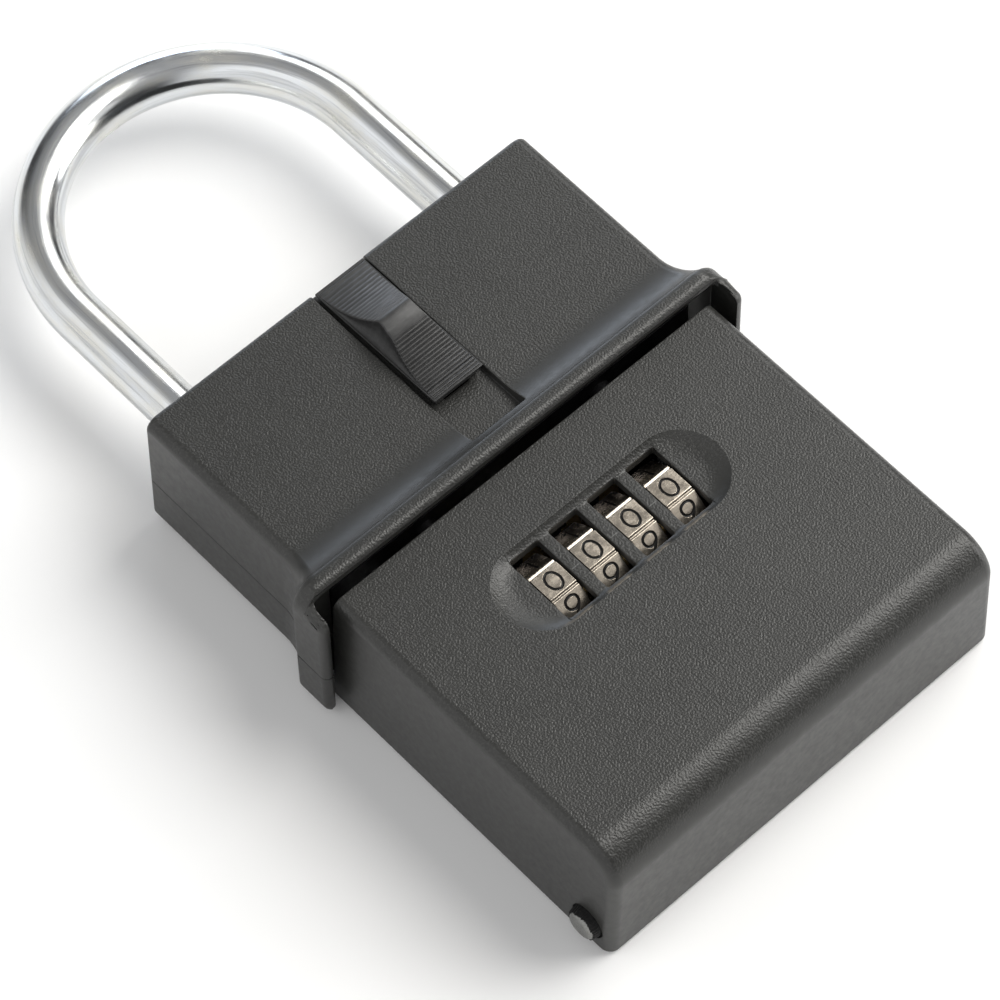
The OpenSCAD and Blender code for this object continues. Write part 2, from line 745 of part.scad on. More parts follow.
// Rivet through the door's sides and the two hinge arms
module hinge_pin() {
    seat = seat_x + 0.1;
    color([0.6, 0.61, 0.6]) placed() translate([0, pin_y, hinge_z]) rotate([0, 90, 0]) {
        cylinder(r = pin_r, h = 2 * seat, center = true);
        for (s = [0, 1]) mirror([0, 0, s]) translate([0, 0, seat]) rotate_extrude()
            polygon([[0, -eps], [head_d / 2, -eps], [head_d / 2, head_t * 0.6],
                     [head_d / 2 - 0.5, head_t], [0, head_t]]);
    }
}

// Steel plate behind the dials, with a keyhole for the bolt's neck and head
module mechanism_cover() {
    wide = bolt_w / 2 + clear;
    flange = 1.2;
    neck_end = head_y - neck_len / 2;
    color([0.66, 0.67, 0.68]) placed() difference() {
        union() {
            block([-cover_half, cover_end, cover_z], [cover_half, cover_top, cover_z + cover_t]);
            for (s = [0, 1]) mirror([s, 0, 0])
                block([cover_half - flange, boss_ys[1] + boss_r + 0.6, cover_z],
                      [cover_half, boss_ys[0] - boss_r - 0.6, cover_z + 5]);
        }
        block([-wide, neck_end - 0.7, cover_z - 1], [wide, cover_top + 1, cover_z + cover_t + 1]);
        block([-neck_w / 2 - gap, neck_end - slide_travel - gap, cover_z - 1],
              [neck_w / 2 + gap, head_y, cover_z + cover_t + 1]);
        for (s = [-1, 1], y = boss_ys)
            translate([s * boss_x, y, cover_z - 1]) cylinder(r = hole_r, h = cover_t + 2);
        translate([lever_at[0], lever_at[1], cover_z - 1]) cylinder(r = lever_r + run_fit, h = cover_t + 2);
    }
}

module cover_screws() {
    color([0.75, 0.75, 0.76]) placed()
        for (s = [-1, 1], y = boss_ys) translate([s * boss_x, y, cover_z]) screw(cover_t + 6.5, 1.2);
}

// Sliding comb: the bolt's head moves it, and its fins pass the flats of the lock discs
module locking_comb() {
    top = cover_top - 0.2;
    hole = neck_len / 2 + head_over + 0.2;
    color([0.7, 0.66, 0.5]) placed() difference() {
        union() {
            block([-comb_half, fin_y, comb_z], [comb_half, top, comb_z + comb_t]);
            for (i = [1:DIALS]) let (x = dial_x(i) + dial_w / 2 + gap)
                block([x, fin_y, comb_z], [x + fin_t, fin_y + fin_len, fin_top]);
        }
        block([-bolt_w / 2 - gap, head_y - hole, comb_z - 1],
              [bolt_w / 2 + gap, head_y + hole, comb_z + comb_t + 1]);
    }
}

// Leaf with one finger beside each dial, which gives the dials their click
module click_spring() {
    y = -dial_y + dial_r + 0.25;
    leaf = 0.4;
    band = 2.4;
    finger = 1.6;
    ends = dial_x(DIALS) + dial_w / 2;
    color([0.72, 0.72, 0.74]) placed() {
        block([-ends, y, cav_door - band], [ends, y + leaf, cav_door]);
        for (i = [1:DIALS])
            block([dial_x(i) - finger, y, axle_z - 2], [dial_x(i) + finger, y + leaf, cav_door - band + eps]);
        block([-ends, y, cav_door - leaf], [ends, y + 3, cav_door]);
    }
}

module wheel_axle() {
    left = stack_in - side_gap - bracket_t;
    right = stack_out + side_gap + bracket_t;
    color([0.7, 0.71, 0.72]) placed() translate([left, -dial_y, axle_z]) rotate([0, 90, 0]) {
        cylinder(r = axle_r, h = right - left);
        for (z = [-cap_t, right - left])
            translate([0, 0, z]) cylinder(r = axle_r + 0.8, h = cap_t);
    }
}

// Lever on the cover that is turned to set a new code
module code_lever() {
    arm = 7;
    thick = 1;
    tip_r = 1.4;
    color([0.75, 0.6, 0.3]) placed() translate([lever_at[0], lever_at[1], cover_z - 0.1]) {
        cylinder(r = lever_r, h = cover_t + 0.8);
        translate([0, 0, -thick]) cylinder(r = 2.4, h = thick);
        translate([-tip_r, 0, -thick]) cube([2 * tip_r, arm, thick]);
        translate([0, arm, -thick]) cylinder(r = tip_r, h = thick);
        translate([0, arm - 0.6, -thick - 0.5]) cylinder(r = 0.9, h = thick);
    }
}

// Ten-sided dial with a groove at each ridge and ten notches in its bore
module dial_wheel(i) {
    color([0.78, 0.74, 0.66]) placed() translate([dial_x(i) - dial_w / 2, -dial_y, axle_z]) rotate([0, 90, 0])
        difference() {
            rotate(180 / FACETS) cylinder(r = dial_r, h = dial_w, $fn = FACETS);
            translate([0, 0, -1]) cylinder(r = hub_r + run_fit, h = dial_w + 2);
            for (k = [0:FACETS - 1]) rotate(k * 360 / FACETS) {
                rotate(180 / FACETS) translate([dial_r + 0.1, 0, -1])
                    cylinder(r = 0.5, h = dial_w + 2, $fn = 16);
                translate([hub_r + run_fit, 0, -1]) cylinder(r = tooth_r + 0.05, h = dial_w + 2, $fn = 16);
            }
        }
}

// Hub inside a dial: barrel with a tooth, lock disc with its flat turned to the comb, and a spacer
module code_hub(i) {
    spacer = dial_pitch - dial_w - disc_t - 0.15;
    color([0.8, 0.68, 0.4]) placed() translate([dial_x(i) - dial_w / 2, -dial_y, axle_z]) rotate([0, 90, 0])
        difference() {
            union() {
                cylinder(r = hub_r, h = dial_w);
                translate([-hub_r, 0, 0]) cylinder(r = tooth_r, h = dial_w, $fn = 16);
                translate([0, 0, dial_w]) difference() {
                    cylinder(r = disc_r, h = disc_t);
                    translate([flat_r, -disc_r, -1]) cube([disc_r, 2 * disc_r, disc_t + 2]);
                }
                translate([0, 0, dial_w + disc_t - eps]) cylinder(r = axle_r + 1.2, h = spacer + eps);
            }
            translate([0, 0, -1]) cylinder(r = axle_r + run_fit, h = dial_pitch + 2);
        }
}

module dial_wheel_1() { dial_wheel(1); }
module dial_wheel_2() { dial_wheel(2); }
module dial_wheel_3() { dial_wheel(3); }
module dial_wheel_4() { dial_wheel(4); }
module code_hub_1() { code_hub(1); }
module code_hub_2() { code_hub(2); }
module code_hub_3() { code_hub(3); }
module code_hub_4() { code_hub(4); }

rear_shell();
front_shell();
bulkhead();
bulkhead_screws();
housing_screws();
toe_guide();
heel_guide();
shackle();
heel_clip();
shackle_catch();
thumb_slide();
bolt_carrier();
carrier_screws();
detent_spring();
door_shell();
hinge_pin();
mechanism_cover();
cover_screws();
locking_comb();
click_spring();
wheel_axle();
code_lever();
dial_wheel_1();
dial_wheel_2();
dial_wheel_3();
dial_wheel_4();
code_hub_1();
code_hub_2();
code_hub_3();
code_hub_4();
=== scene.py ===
"""Portable lock box: the finished look of a key box with a shackle, a thumb slide and four number dials.

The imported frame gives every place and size. X is the width, +Y points to the shackle and +Z out of the
front face. Lengths are in metres. Points written in millimetres go through at(), where Y is counted from
the line at which the door meets the housing.
"""

import math

import bmesh
import bpy
from bpy.props import FloatProperty, FloatVectorProperty, IntProperty, PointerProperty
from mathutils import Matrix, Vector
from mathutils import noise as noise_value
from mathutils.bvhtree import BVHTree


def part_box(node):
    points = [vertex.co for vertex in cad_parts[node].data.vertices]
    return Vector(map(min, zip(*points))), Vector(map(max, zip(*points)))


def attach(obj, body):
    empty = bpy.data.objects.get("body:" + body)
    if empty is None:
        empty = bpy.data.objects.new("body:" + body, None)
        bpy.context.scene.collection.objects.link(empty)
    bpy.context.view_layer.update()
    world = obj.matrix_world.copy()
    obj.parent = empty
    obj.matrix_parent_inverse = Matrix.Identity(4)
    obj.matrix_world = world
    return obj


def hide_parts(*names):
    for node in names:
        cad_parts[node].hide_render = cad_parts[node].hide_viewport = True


bl_info = {
    "name": "Portable lock box",
    "version": (1, 0, 0),
    "blender": (4, 5, 0),
    "location": "3D View > Sidebar > Lock box",
    "description": "Builds the finished look of a portable key lock box around its packed frame",
    "category": "Object",
}

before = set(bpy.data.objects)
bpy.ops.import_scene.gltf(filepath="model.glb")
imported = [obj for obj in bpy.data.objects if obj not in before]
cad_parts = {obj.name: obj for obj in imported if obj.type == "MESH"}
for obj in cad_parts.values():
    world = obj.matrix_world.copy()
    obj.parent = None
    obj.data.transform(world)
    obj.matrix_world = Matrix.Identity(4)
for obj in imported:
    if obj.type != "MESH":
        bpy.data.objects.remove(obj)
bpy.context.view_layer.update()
MM = 0.001
DOOR_LOW, DOOR_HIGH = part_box("door_shell")
FRONT_LOW, FRONT_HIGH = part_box("front_shell")
SLIDE_LOW, SLIDE_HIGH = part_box("thumb_slide")
PIN_LOW, PIN_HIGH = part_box("hinge_pin")
ROD_LOW, ROD_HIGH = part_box("shackle")
SPLIT = DOOR_HIGH.y
DIALS = 4
DIAL_BOXES = [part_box(f"dial_wheel_{i + 1}") for i in range(DIALS)]
DIAL_LOW, DIAL_HIGH = DIAL_BOXES[0]
DIAL_PITCH = 7.5

# Places and sizes in millimetres that the frame gives
DOOR_LEN = (DOOR_HIGH.y - DOOR_LOW.y) / MM
DOOR_T = DOOR_HIGH.z / MM
BACK_HALF = DOOR_HIGH.x / MM
HOUSE_LEN = (FRONT_HIGH.y - SPLIT) / MM
COLLAR_HALF = FRONT_HIGH.x / MM
COLLAR_Z = FRONT_HIGH.z / MM
CASE_T = COLLAR_Z - 2.5
SEAM_Z = 10.4
FRONT_HALF = BACK_HALF - 1
EAR_DROP = (SPLIT - FRONT_LOW.y) / MM
ROD_R = (ROD_HIGH.z - ROD_LOW.z) / 2 / MM
ROD_Z = (ROD_HIGH.z + ROD_LOW.z) / 2 / MM
LEG_X = ROD_HIGH.x / MM - ROD_R
BOW_Y = (ROD_HIGH.y - SPLIT) / MM - ROD_R - LEG_X
HEEL_END = (ROD_LOW.y - SPLIT) / MM
PIN_Z = (PIN_HIGH.z + PIN_LOW.z) / 2 / MM
PIN_Y = ((PIN_HIGH.y + PIN_LOW.y) / 2 - SPLIT) / MM
DIAL_R = (DIAL_HIGH.y - DIAL_LOW.y) / 2 / MM
DIAL_FLAT = DIAL_R * math.cos(math.pi / 10)
DIAL_W = (DIAL_HIGH.x - DIAL_LOW.x) / MM
DIAL_Y = ((DIAL_HIGH.y + DIAL_LOW.y) / 2 - SPLIT) / MM
DIAL_Z = (DIAL_HIGH.z + DIAL_LOW.z) / 2 / MM
DIAL_XS = [(low.x + high.x) / 2 / MM for low, high in DIAL_BOXES]

# Walls, collar and slide channel in millimetres
WALL = 2.0
FACE_WALL = 2.6
BACK_WALL = 2.2
HEEL_WALL = 1.7
PLATE_Y = 4.6
MOUTH_D = 2.8
LIP_Y = 1.2
LIP_WALL = 1.6
EAR_WALL = 1.5
COLLAR_R = 4.4
CHANNEL_HALF = SLIDE_HIGH.x / MM + 0.4
CHANNEL_END = (SLIDE_LOW.y - SPLIT) / MM - 8.5
CHANNEL_Z = CASE_T - 1.2
BARREL_R = PIN_Z - HEEL_WALL - 0.3
SWING_R = math.hypot(PIN_Y + DOOR_LEN, PIN_Z) + 0.3
HOUSING_SCREWS = [(x, y) for x in (-LEG_X + 15.6, LEG_X - 15.6) for y in (HOUSE_LEN - 5.5, PLATE_Y + 5.6)]
BULKHEAD_SCREW_XS = (-LEG_X + 10.1, LEG_X - 10.1)
COVER_SCREWS = [(x, y) for x in (-18.4, 18.4) for y in (-4.5, DIAL_Y - 10.5)]
TRAY_START = PIN_Y + 9.3


class LockBoxSizes(bpy.types.PropertyGroup):
    """Sizes of the details that only the finished look has"""

    edge: FloatProperty(
        name="Edge rounding", description="Radius of the small roundings on moulded edges",
        default=0.00025, min=0.00005, max=0.0005, precision=5, unit="LENGTH")
    grain: FloatProperty(
        name="Grain size", description="Size of one bump of the textured faces",
        default=0.00031, min=0.0002, max=0.001, precision=5, unit="LENGTH")
    grain_depth: FloatProperty(
        name="Grain depth", description="Height of the bumps of the textured faces",
        default=0.00003, min=0.0, max=0.0004, precision=6, unit="LENGTH")
    ear_round: FloatProperty(
        name="Ear rounding", description="Radius of the soft outer edge of the ears",
        default=0.0011, min=0.0003, max=0.0013, precision=5, unit="LENGTH")
    digit_height: FloatProperty(
        name="Digit height", description="Height of the digits cut into the dials",
        default=0.0031, min=0.002, max=0.004, precision=4, unit="LENGTH")
    digit_stroke: FloatProperty(
        name="Digit stroke", description="Width of the cutter that cut the digits",
        default=0.00046, min=0.0003, max=0.0008, precision=5, unit="LENGTH")
    coarse_ribs: IntProperty(
        name="Coarse ribs", description="Number of ribs on the slide's long hollow face",
        default=18, min=6, max=24)
    fine_ribs: IntProperty(
        name="Fine ribs", description="Number of ribs on the slide's short hollow face",
        default=16, min=6, max=24)


class LockBoxColours(bpy.types.PropertyGroup):
    """Colours of the finishes"""

    case: FloatVectorProperty(
        name="Case", description="Moulded plastic of housing and door",
        default=(0.022, 0.022, 0.0205), size=3, min=0, max=1, subtype="COLOR")
    slide: FloatVectorProperty(
        name="Slide", description="Smooth plastic of the thumb slide",
        default=(0.022, 0.022, 0.022), size=3, min=0, max=1, subtype="COLOR")
    shackle: FloatVectorProperty(
        name="Shackle", description="Bright zinc plating of the rod",
        default=(0.72, 0.74, 0.76), size=3, min=0, max=1, subtype="COLOR")
    dial: FloatVectorProperty(
        name="Dials", description="Warm nickel plating of the dials",
        default=(0.62, 0.55, 0.46), size=3, min=0, max=1, subtype="COLOR")
    digit: FloatVectorProperty(
        name="Digits", description="Paint in the cut digits",
        default=(0.005, 0.0045, 0.004), size=3, min=0, max=1, subtype="COLOR")
    floor: FloatVectorProperty(
        name="Floor", description="Pale floor under the box",
        default=(0.93, 0.93, 0.93), size=3, min=0, max=1, subtype="COLOR")


def at(x, y, z):
    """A point given in millimetres, with Y from the door line, as a place in the frame."""
    return Vector((x * MM, y * MM + SPLIT, z * MM))


def sizes_now():
    return bpy.context.scene.lock_box_sizes


def colours_now():
    return bpy.context.scene.lock_box_colours


# Shader building

def put(tree, kind, inputs=None, **settings):
    """Adds a node, sets its fields, and sets or links its inputs."""
    made = tree.nodes.new(kind)
    for key, value in settings.items():
        setattr(made, key, value)
    for key, value in (inputs or {}).items():
        if isinstance(value, bpy.types.NodeSocket):
            tree.links.new(value, made.inputs[key])
        else:
            made.inputs[key].default_value = value
    return made


def finish(name, colour, metallic, roughness, **sockets):
    """A fresh material and its Principled shader; sockets are set by name, with _ for a space."""
    material = bpy.data.materials.get(name) or bpy.data.materials.new(name)
    material.use_nodes = True
    tree = material.node_tree
    for node in [n for n in tree.nodes if n.type not in ("BSDF_PRINCIPLED", "OUTPUT_MATERIAL")]:
        tree.nodes.remove(node)
    shader = next(n for n in tree.nodes if n.type == "BSDF_PRINCIPLED")
    shader.inputs["Base Color"].default_value = (*colour, 1)
    shader.inputs["Metallic"].default_value = metallic
    shader.inputs["Roughness"].default_value = roughness
    for key, value in sockets.items():
        shader.inputs[key.replace("_", " ")].default_value = value
    return material, tree, shader


def wire(tree, shader, **values):
    """Links values to the shader's sockets, which are named with _ for a space."""
    for key, value in values.items():
        tree.links.new(value, shader.inputs[key.replace("_", " ")])


def object_place(tree):
    return put(tree, "ShaderNodeTexCoord").outputs["Object"]


def bumped(tree, strength, distance, height, **normal):
    """The normal that a height gives; Normal takes one that is bent already."""
    inputs = {"Strength": strength, "Distance": distance, "Height": height, **normal}
    return put(tree, "ShaderNodeBump", inputs).outputs[0]


def soft_edges(tree, radius):
    return put(tree, "ShaderNodeBevel", {"Radius": radius}, samples=4).outputs[0]


def noise(tree, vector, scale, detail=3.0, roughness=0.55, stretch=None):
    """Fractal noise in object space, stretched by three factors where given."""
    if stretch:
        vector = put(tree, "ShaderNodeMapping", {"Vector": vector, "Scale": stretch}).outputs[0]
    inputs = {"Vector": vector, "Scale": scale, "Detail": detail, "Roughness": roughness}
    return put(tree, "ShaderNodeTexNoise", inputs).outputs["Fac"]


def span(tree, value, low, high, to_low=0.0, to_high=1.0, smooth=False):
    """Maps low..high to to_low..to_high, clamped."""
    inputs = {"Value": value, "From Min": low, "From Max": high, "To Min": to_low, "To Max": to_high}
    kind = "SMOOTHSTEP" if smooth else "LINEAR"
    return put(tree, "ShaderNodeMapRange", inputs, interpolation_type=kind).outputs[0]


def maths(tree, operation, a, b=0.0):
    return put(tree, "ShaderNodeMath", {0: a, 1: b}, operation=operation).outputs[0]


def blend_colours(tree, factor, a, b):
    mixed = put(tree, "ShaderNodeMix", {0: factor}, data_type="RGBA")
    for slot, value in ((6, a), (7, b)):
        if isinstance(value, bpy.types.NodeSocket):
            tree.links.new(value, mixed.inputs[slot])
        else:
            mixed.inputs[slot].default_value = (*value, 1)
    return mixed.outputs[2]


def shade(colour, factor):
    return tuple(c * factor for c in colour)


def case_plastic(textured):
    """Black moulded plastic: spark grain on faces that look forward, with the grain's tops painted lighter as
    painted highlights, plain elsewhere, with faint marks.
    """
    sizes, colours = sizes_now(), colours_now()
    name = "case_plastic_grained" if textured else "case_plastic_plain"
    material, tree, shader = finish(name, colours.case, 0, 0.5, Specular_IOR_Level=0.5)
    coords = put(tree, "ShaderNodeTexCoord")
    place = coords.outputs["Object"]
    normal = put(tree, "ShaderNodeSeparateXYZ", {0: coords.outputs["Normal"]})
    cloud = noise(tree, place, 90, 4, 0.6)
    mottle = noise(tree, place, 900, 3, 0.6)
    tone = span(tree, cloud, 0.35, 0.65)
    colour = blend_colours(tree, tone, shade(colours.case, 0.92), shade(colours.case, 1.1))
    wear = span(tree, mottle, 0.3, 0.7, 0.34, 0.44)
    if textured:
        forward = span(tree, normal.outputs["Z"], 0.25, 0.75, smooth=True)
        flare = span(tree, normal.outputs["Y"], 0.04, 0.2, 1, 0, smooth=True)
        mask = maths(tree, "MULTIPLY", forward, flare)
        grain = noise(tree, place, 1 / sizes.grain, 0.5, 0.4)
        pits = noise(tree, place, 2.3 / sizes.grain, 1.0, 0.4)
        height = maths(tree, "ADD", span(tree, grain, 0.3, 0.7), maths(tree, "MULTIPLY", pits, 0.15))
        # The grain's tops on forward faces are painted lighter: painted highlights of the specks that catch
        # the light.
        painted_speck_highlight = maths(tree, "MULTIPLY", span(tree, grain, 0.5, 0.72), mask)
        colour = blend_colours(tree, painted_speck_highlight, colour, shade(colours.case, 1.6))
        wear = maths(tree, "SUBTRACT", wear, maths(tree, "MULTIPLY", mask, 0.04))
    fine = maths(tree, "MULTIPLY", noise(tree, place, 420, 4, 0.6), 0.05)
    if textured:
        fine = maths(tree, "ADD", fine, maths(tree, "MULTIPLY", height, mask))
    marks = noise(tree, place, 300, 5, 0.7, stretch=(1.0, 9.0, 1.0))
    scratch = maths(tree, "MULTIPLY", span(tree, marks, 0.66, 0.72), 0.1)
    wire(tree, shader, Base_Color=colour, Roughness=maths(tree, "SUBTRACT", wear, scratch),
         Normal=bumped(tree, 1.0, sizes.grain_depth, fine))
    return material


def slide_plastic():
    """Satin black plastic of the thumb slide, with rubbed rib tops."""
    colours = colours_now()
    material, tree, shader = finish("slide_plastic", colours.slide, 0, 0.42)
    place = object_place(tree)
    cloud = noise(tree, place, 500, 4, 0.6)
    rub = noise(tree, place, 1800, 3, 0.6, stretch=(0.25, 1, 1))
    colour = blend_colours(tree, span(tree, rub, 0.45, 0.75), colours.slide, shade(colours.slide, 1.9))
    wire(tree, shader, Base_Color=colour, Roughness=span(tree, cloud, 0.3, 0.7, 0.34, 0.5),
         Normal=bumped(tree, 0.4, 0.00002, rub, Normal=soft_edges(tree, 0.00008)))
    return material


def rod_zinc():
    """Bright zinc on a drawn rod: darker streaks along its length, partly drawing marks and partly painted
    reflection bands, mottled and faintly yellow in places.
    """
    colour = colours_now().shackle
    material, tree, shader = finish("rod_zinc", colour, 1, 0.2)
    rod = put(tree, "ShaderNodeAttribute", attribute_name="rod").outputs["Vector"]
    streaks = noise(tree, rod, 1500, 4, 0.6, stretch=(1, 1, 0.025))
    lines = noise(tree, rod, 4200, 2, 0.5, stretch=(1, 1, 0.012))
    mottle = noise(tree, rod, 260, 5, 0.65, stretch=(1, 1, 0.35))
    yellowed = (colour[0], colour[1] * 0.965, colour[2] * 0.88)
    tint = blend_colours(tree, span(tree, mottle, 0.42, 0.66), colour, yellowed)
    # The darker streaks in the colour are partly drawing marks and partly painted dark reflection bands.
    drawn_and_reflection_streaks = blend_colours(tree, span(tree, streaks, 0.52, 0.72), tint, shade(colour, 0.62))
    height = maths(tree, "ADD", maths(tree, "MULTIPLY", streaks, 0.6), maths(tree, "MULTIPLY", lines, 0.4))
    waves = noise(tree, rod, 160, 2, 0.5, stretch=(1, 1, 0.3))
    wire(tree, shader, Base_Color=drawn_and_reflection_streaks, Roughness=span(tree, mottle, 0.3, 0.7, 0.12, 0.3),
         Normal=bumped(tree, 0.5, 0.0002, waves, Normal=bumped(tree, 0.5, 0.00004, height)))
    return material


def plated(name, colour, roughness, mottle_scale, depth, streak=None, edge=0.0001):
    """A plated or cast metal with mottled gloss, fine grain and softly lit edges."""
    material, tree, shader = finish(name, colour, 1, roughness)
    place = object_place(tree)
    mottle = noise(tree, place, mottle_scale, 4, 0.62)
    grain = noise(tree, place, mottle_scale * 5, 3, 0.6, stretch=streak)
    tone = blend_colours(tree, span(tree, mottle, 0.35, 0.68), shade(colour, 0.72), colour)
    colour = blend_colours(tree, span(tree, grain, 0.5, 0.8), tone, shade(colour, 0.55))
    gloss = span(tree, mottle, 0.3, 0.7, roughness * 0.75, roughness * 1.3)
    wire(tree, shader, Base_Color=colour, Roughness=gloss,
         Normal=bumped(tree, 0.6, depth, grain, Normal=soft_edges(tree, edge)))
    return material


def painted_shade_plastic():
    """Near-black plastic round the hammered rivet heads, torn and dull, darker than the case as painted shade
    on the heads' sides.
    """
    black, dusty = (0.003, 0.003, 0.003), (0.05, 0.05, 0.048)
    # Darker than the case plastic: painted shade round the rivet heads.
    material, tree, shader = finish("painted_shade_plastic", (0.004, 0.004, 0.004), 0, 0.5, Specular_IOR_Level=0.3)
    torn = noise(tree, object_place(tree), 2600, 4, 0.7)
    wire(tree, shader, Base_Color=blend_colours(tree, span(tree, torn, 0.6, 0.75), black, dusty),
         Roughness=span(tree, torn, 0.3, 0.7, 0.35, 0.7), Normal=bumped(tree, 1.0, 0.00025, torn))
    return material


def digit_paint():
    """Black paint that fills the cut digits, a little uneven."""
    colour = colours_now().digit
    material, tree, shader = finish("digit_paint", colour, 0, 0.5, Specular_IOR_Level=0.25)
    uneven = noise(tree, object_place(tree), 3000, 3)
    wire(tree, shader, Roughness=span(tree, uneven, 0.3, 0.7, 0.3, 0.6))
    return material


def index_paint():
    """Thin pale print of the index lines, broken by the plastic's grain."""
    material, tree, shader = finish("index_paint", (0.1, 0.1, 0.1), 0, 0.5)
    worn = span(tree, noise(tree, object_place(tree), 5000, 3), 0.35, 0.6)
    wire(tree, shader, Base_Color=blend_colours(tree, worn, (0.035, 0.035, 0.035), (0.13, 0.13, 0.125)))
    return material


# Mesh building

def link_new(name, data):
    """A new object with the given data, linked to the scene."""
    obj = bpy.data.objects.new(name, data)
    bpy.context.scene.collection.objects.link(obj)
    return obj


def add_object(name, bm, material):
    """Turns a bmesh into an object of the scene."""
    bmesh.ops.recalc_face_normals(bm, faces=bm.faces)
    mesh = bpy.data.meshes.new(name)
    bm.to_mesh(mesh)
    bm.free()
    mesh.materials.append(material)
    return link_new(name, mesh)


def skin(bm, rings, looped=False):
    """Faces over a row of rings of points, capped at both ends, or with the last ring joined to the first."""
    rows = [[bm.verts.new(p) for p in ring] for ring in rings]
    run = rows + rows[:1] if looped else rows
    for a, b in zip(run, run[1:]):
        for i in range(len(a)):
            j = (i + 1) % len(a)
            bm.faces.new((a[i], a[j], b[j], b[i]))
    if not looped:
        bm.faces.new(rows[0])
        bm.faces.new(rows[-1])
    return rows


def skinned(name, rings, material):
    """An object whose surface is a skin over the rings."""
    bm = bmesh.new()
    skin(bm, rings)
    return add_object(name, bm, material)


def prism(bm, outline, low, high, lift):
    """A slab over a flat outline; lift(a, b, t) gives the place of point (a, b) at t = low or high."""
    skin(bm, [[lift(a, b, low) for a, b in outline], [lift(a, b, high) for a, b in outline]])


def along_x(a, b, t):
    return at(t, a, b)


def along_z(a, b, t):
    return at(a, b, t)


def box_points(x0, x1, y0, y1):
    return [(x0, y0), (x1, y0), (x1, y1), (x0, y1)]


def polar(angle):
    """Cosine and sine of an angle in degrees."""
    return math.cos(math.radians(angle)), math.sin(math.radians(angle))


def arc(cx, cy, r, a0, a1, steps):
    """Points on an arc, angles in degrees."""
    ways = [polar(a0 + (a1 - a0) * i / steps) for i in range(steps + 1)]
    return [(cx + r * c, cy + r * s) for c, s in ways]


def full_turn(count):
    """Angles spread evenly round a circle, in radians."""
    return [2 * math.pi * i / count for i in range(count)]


def circle(cx, cy, r, steps):
    return arc(cx, cy, r, 0, 360, steps)[:-1]


def soft_box(x0, x1, y0, y1, r, steps=5):
    """Rectangle with rounded corners, counted round from its lower left corner."""
    return (arc(x0 + r, y0 + r, r, 180, 270, steps) + arc(x1 - r, y0 + r, r, 270, 360, steps)
            + arc(x1 - r, y1 - r, r, 0, 90, steps) + arc(x0 + r, y1 - r, r, 90, 180, steps))


def cylinder_x(bm, y, z, r, x0, x1, steps=48):
    prism(bm, circle(y, z, r, steps), x0, x1, along_x)


def block(bm, x0, x1, y0, y1, z0, z1):
    prism(bm, box_points(x0, x1, y0, y1), z0, z1, along_z)


def settle(obj):
    """Applies the object's modifiers."""
    graph = bpy.context.evaluated_depsgraph_get()
    mesh = bpy.data.meshes.new_from_object(
        obj.evaluated_get(graph), preserve_all_data_layers=True, depsgraph=graph)
    obj.modifiers.clear()
    obj.data = mesh


def carve(obj, builder, material, operation="DIFFERENCE"):
    """Cuts, adds or keeps the solids that builder(bm) makes."""
    bm = bmesh.new()
    builder(bm)
    tool = add_object(obj.name + "_tool", bm, material)
    cut = obj.modifiers.new("carve", "BOOLEAN")
    cut.operation = operation
    cut.solver = "EXACT"
    cut.use_self = True
    cut.material_mode = "TRANSFER"
    cut.object = tool
    settle(obj)
    bpy.data.objects.remove(tool)
    if not obj.data.polygons:
        raise RuntimeError(f"{obj.name} came out empty")


def smooth_faces(obj, angle):
    """Smooth shading, with sharp edges where faces meet at more than the angle in degrees."""
    obj.data.polygons.foreach_set("use_smooth", [True] * len(obj.data.polygons))
    obj.data.set_sharp_from_angle(angle=math.radians(angle))


def soften(obj, width):
    """Rounds the sharp edges that have room for it and gives clean shading."""
    sharp = math.radians(32)
    bm = bmesh.new()
    bm.from_mesh(obj.data)
    bmesh.ops.remove_doubles(bm, verts=bm.verts, dist=2e-6)
    bmesh.ops.dissolve_limit(bm, angle_limit=math.radians(0.4), verts=bm.verts, edges=bm.edges,
                             delimit={"MATERIAL"})
    if width:
        weight = bm.edges.layers.float.new("bevel_weight_edge")
        for edge in bm.edges:
            if len(edge.link_faces) == 2 and edge.calc_face_angle(0) > sharp:
                room = min(face.calc_area() for face in edge.link_faces) / edge.calc_length()
                edge[weight] = min(1.0, room / (2.5 * width))
    surface = BVHTree.FromBMesh(bm)
    low = [min(vert.co[i] for vert in bm.verts) for i in range(3)]
    high = [max(vert.co[i] for vert in bm.verts) for i in range(3)]
    bm.to_mesh(obj.data)
    bm.free()
    if width:
        bevel = obj.modifiers.new("edges", "BEVEL")
        bevel.width = width
        bevel.segments = 2
        bevel.limit_method = "WEIGHT"
        bevel.use_clamp_overlap = False
        bevel.miter_outer = "MITER_ARC"
        settle(obj)
        for vert in obj.data.vertices:
            seat, _, _, away = surface.find_nearest(vert.co)
            if away > 0.75 * width:
                vert.co = seat
            vert.co = [min(max(value, low[i]), high[i]) for i, value in enumerate(vert.co)]
    smooth_faces(obj, 40)
    weighted = obj.modifiers.new("shading", "WEIGHTED_NORMAL")
    weighted.keep_sharp = True
    settle(obj)


def dress(obj, body, slot, *nodes):
    """Seats a piece on its body in place of CAD nodes."""
    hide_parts(*nodes)
    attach(obj, body)


# Housing

def section(half_front, half_back, top, r_front, r_back, steps=12):
    """One cross-section of the housing in X and Z, from the right side over the front to the back."""
    return (arc(half_front - r_front, top - r_front, r_front, 0, 90, steps)
            + arc(-half_front + r_front, top - r_front, r_front, 90, 180, steps)
            + arc(-half_back + r_back, r_back, r_back, 180, 270, steps)
            + arc(half_back - r_back, r_back, r_back, 270, 360, steps))


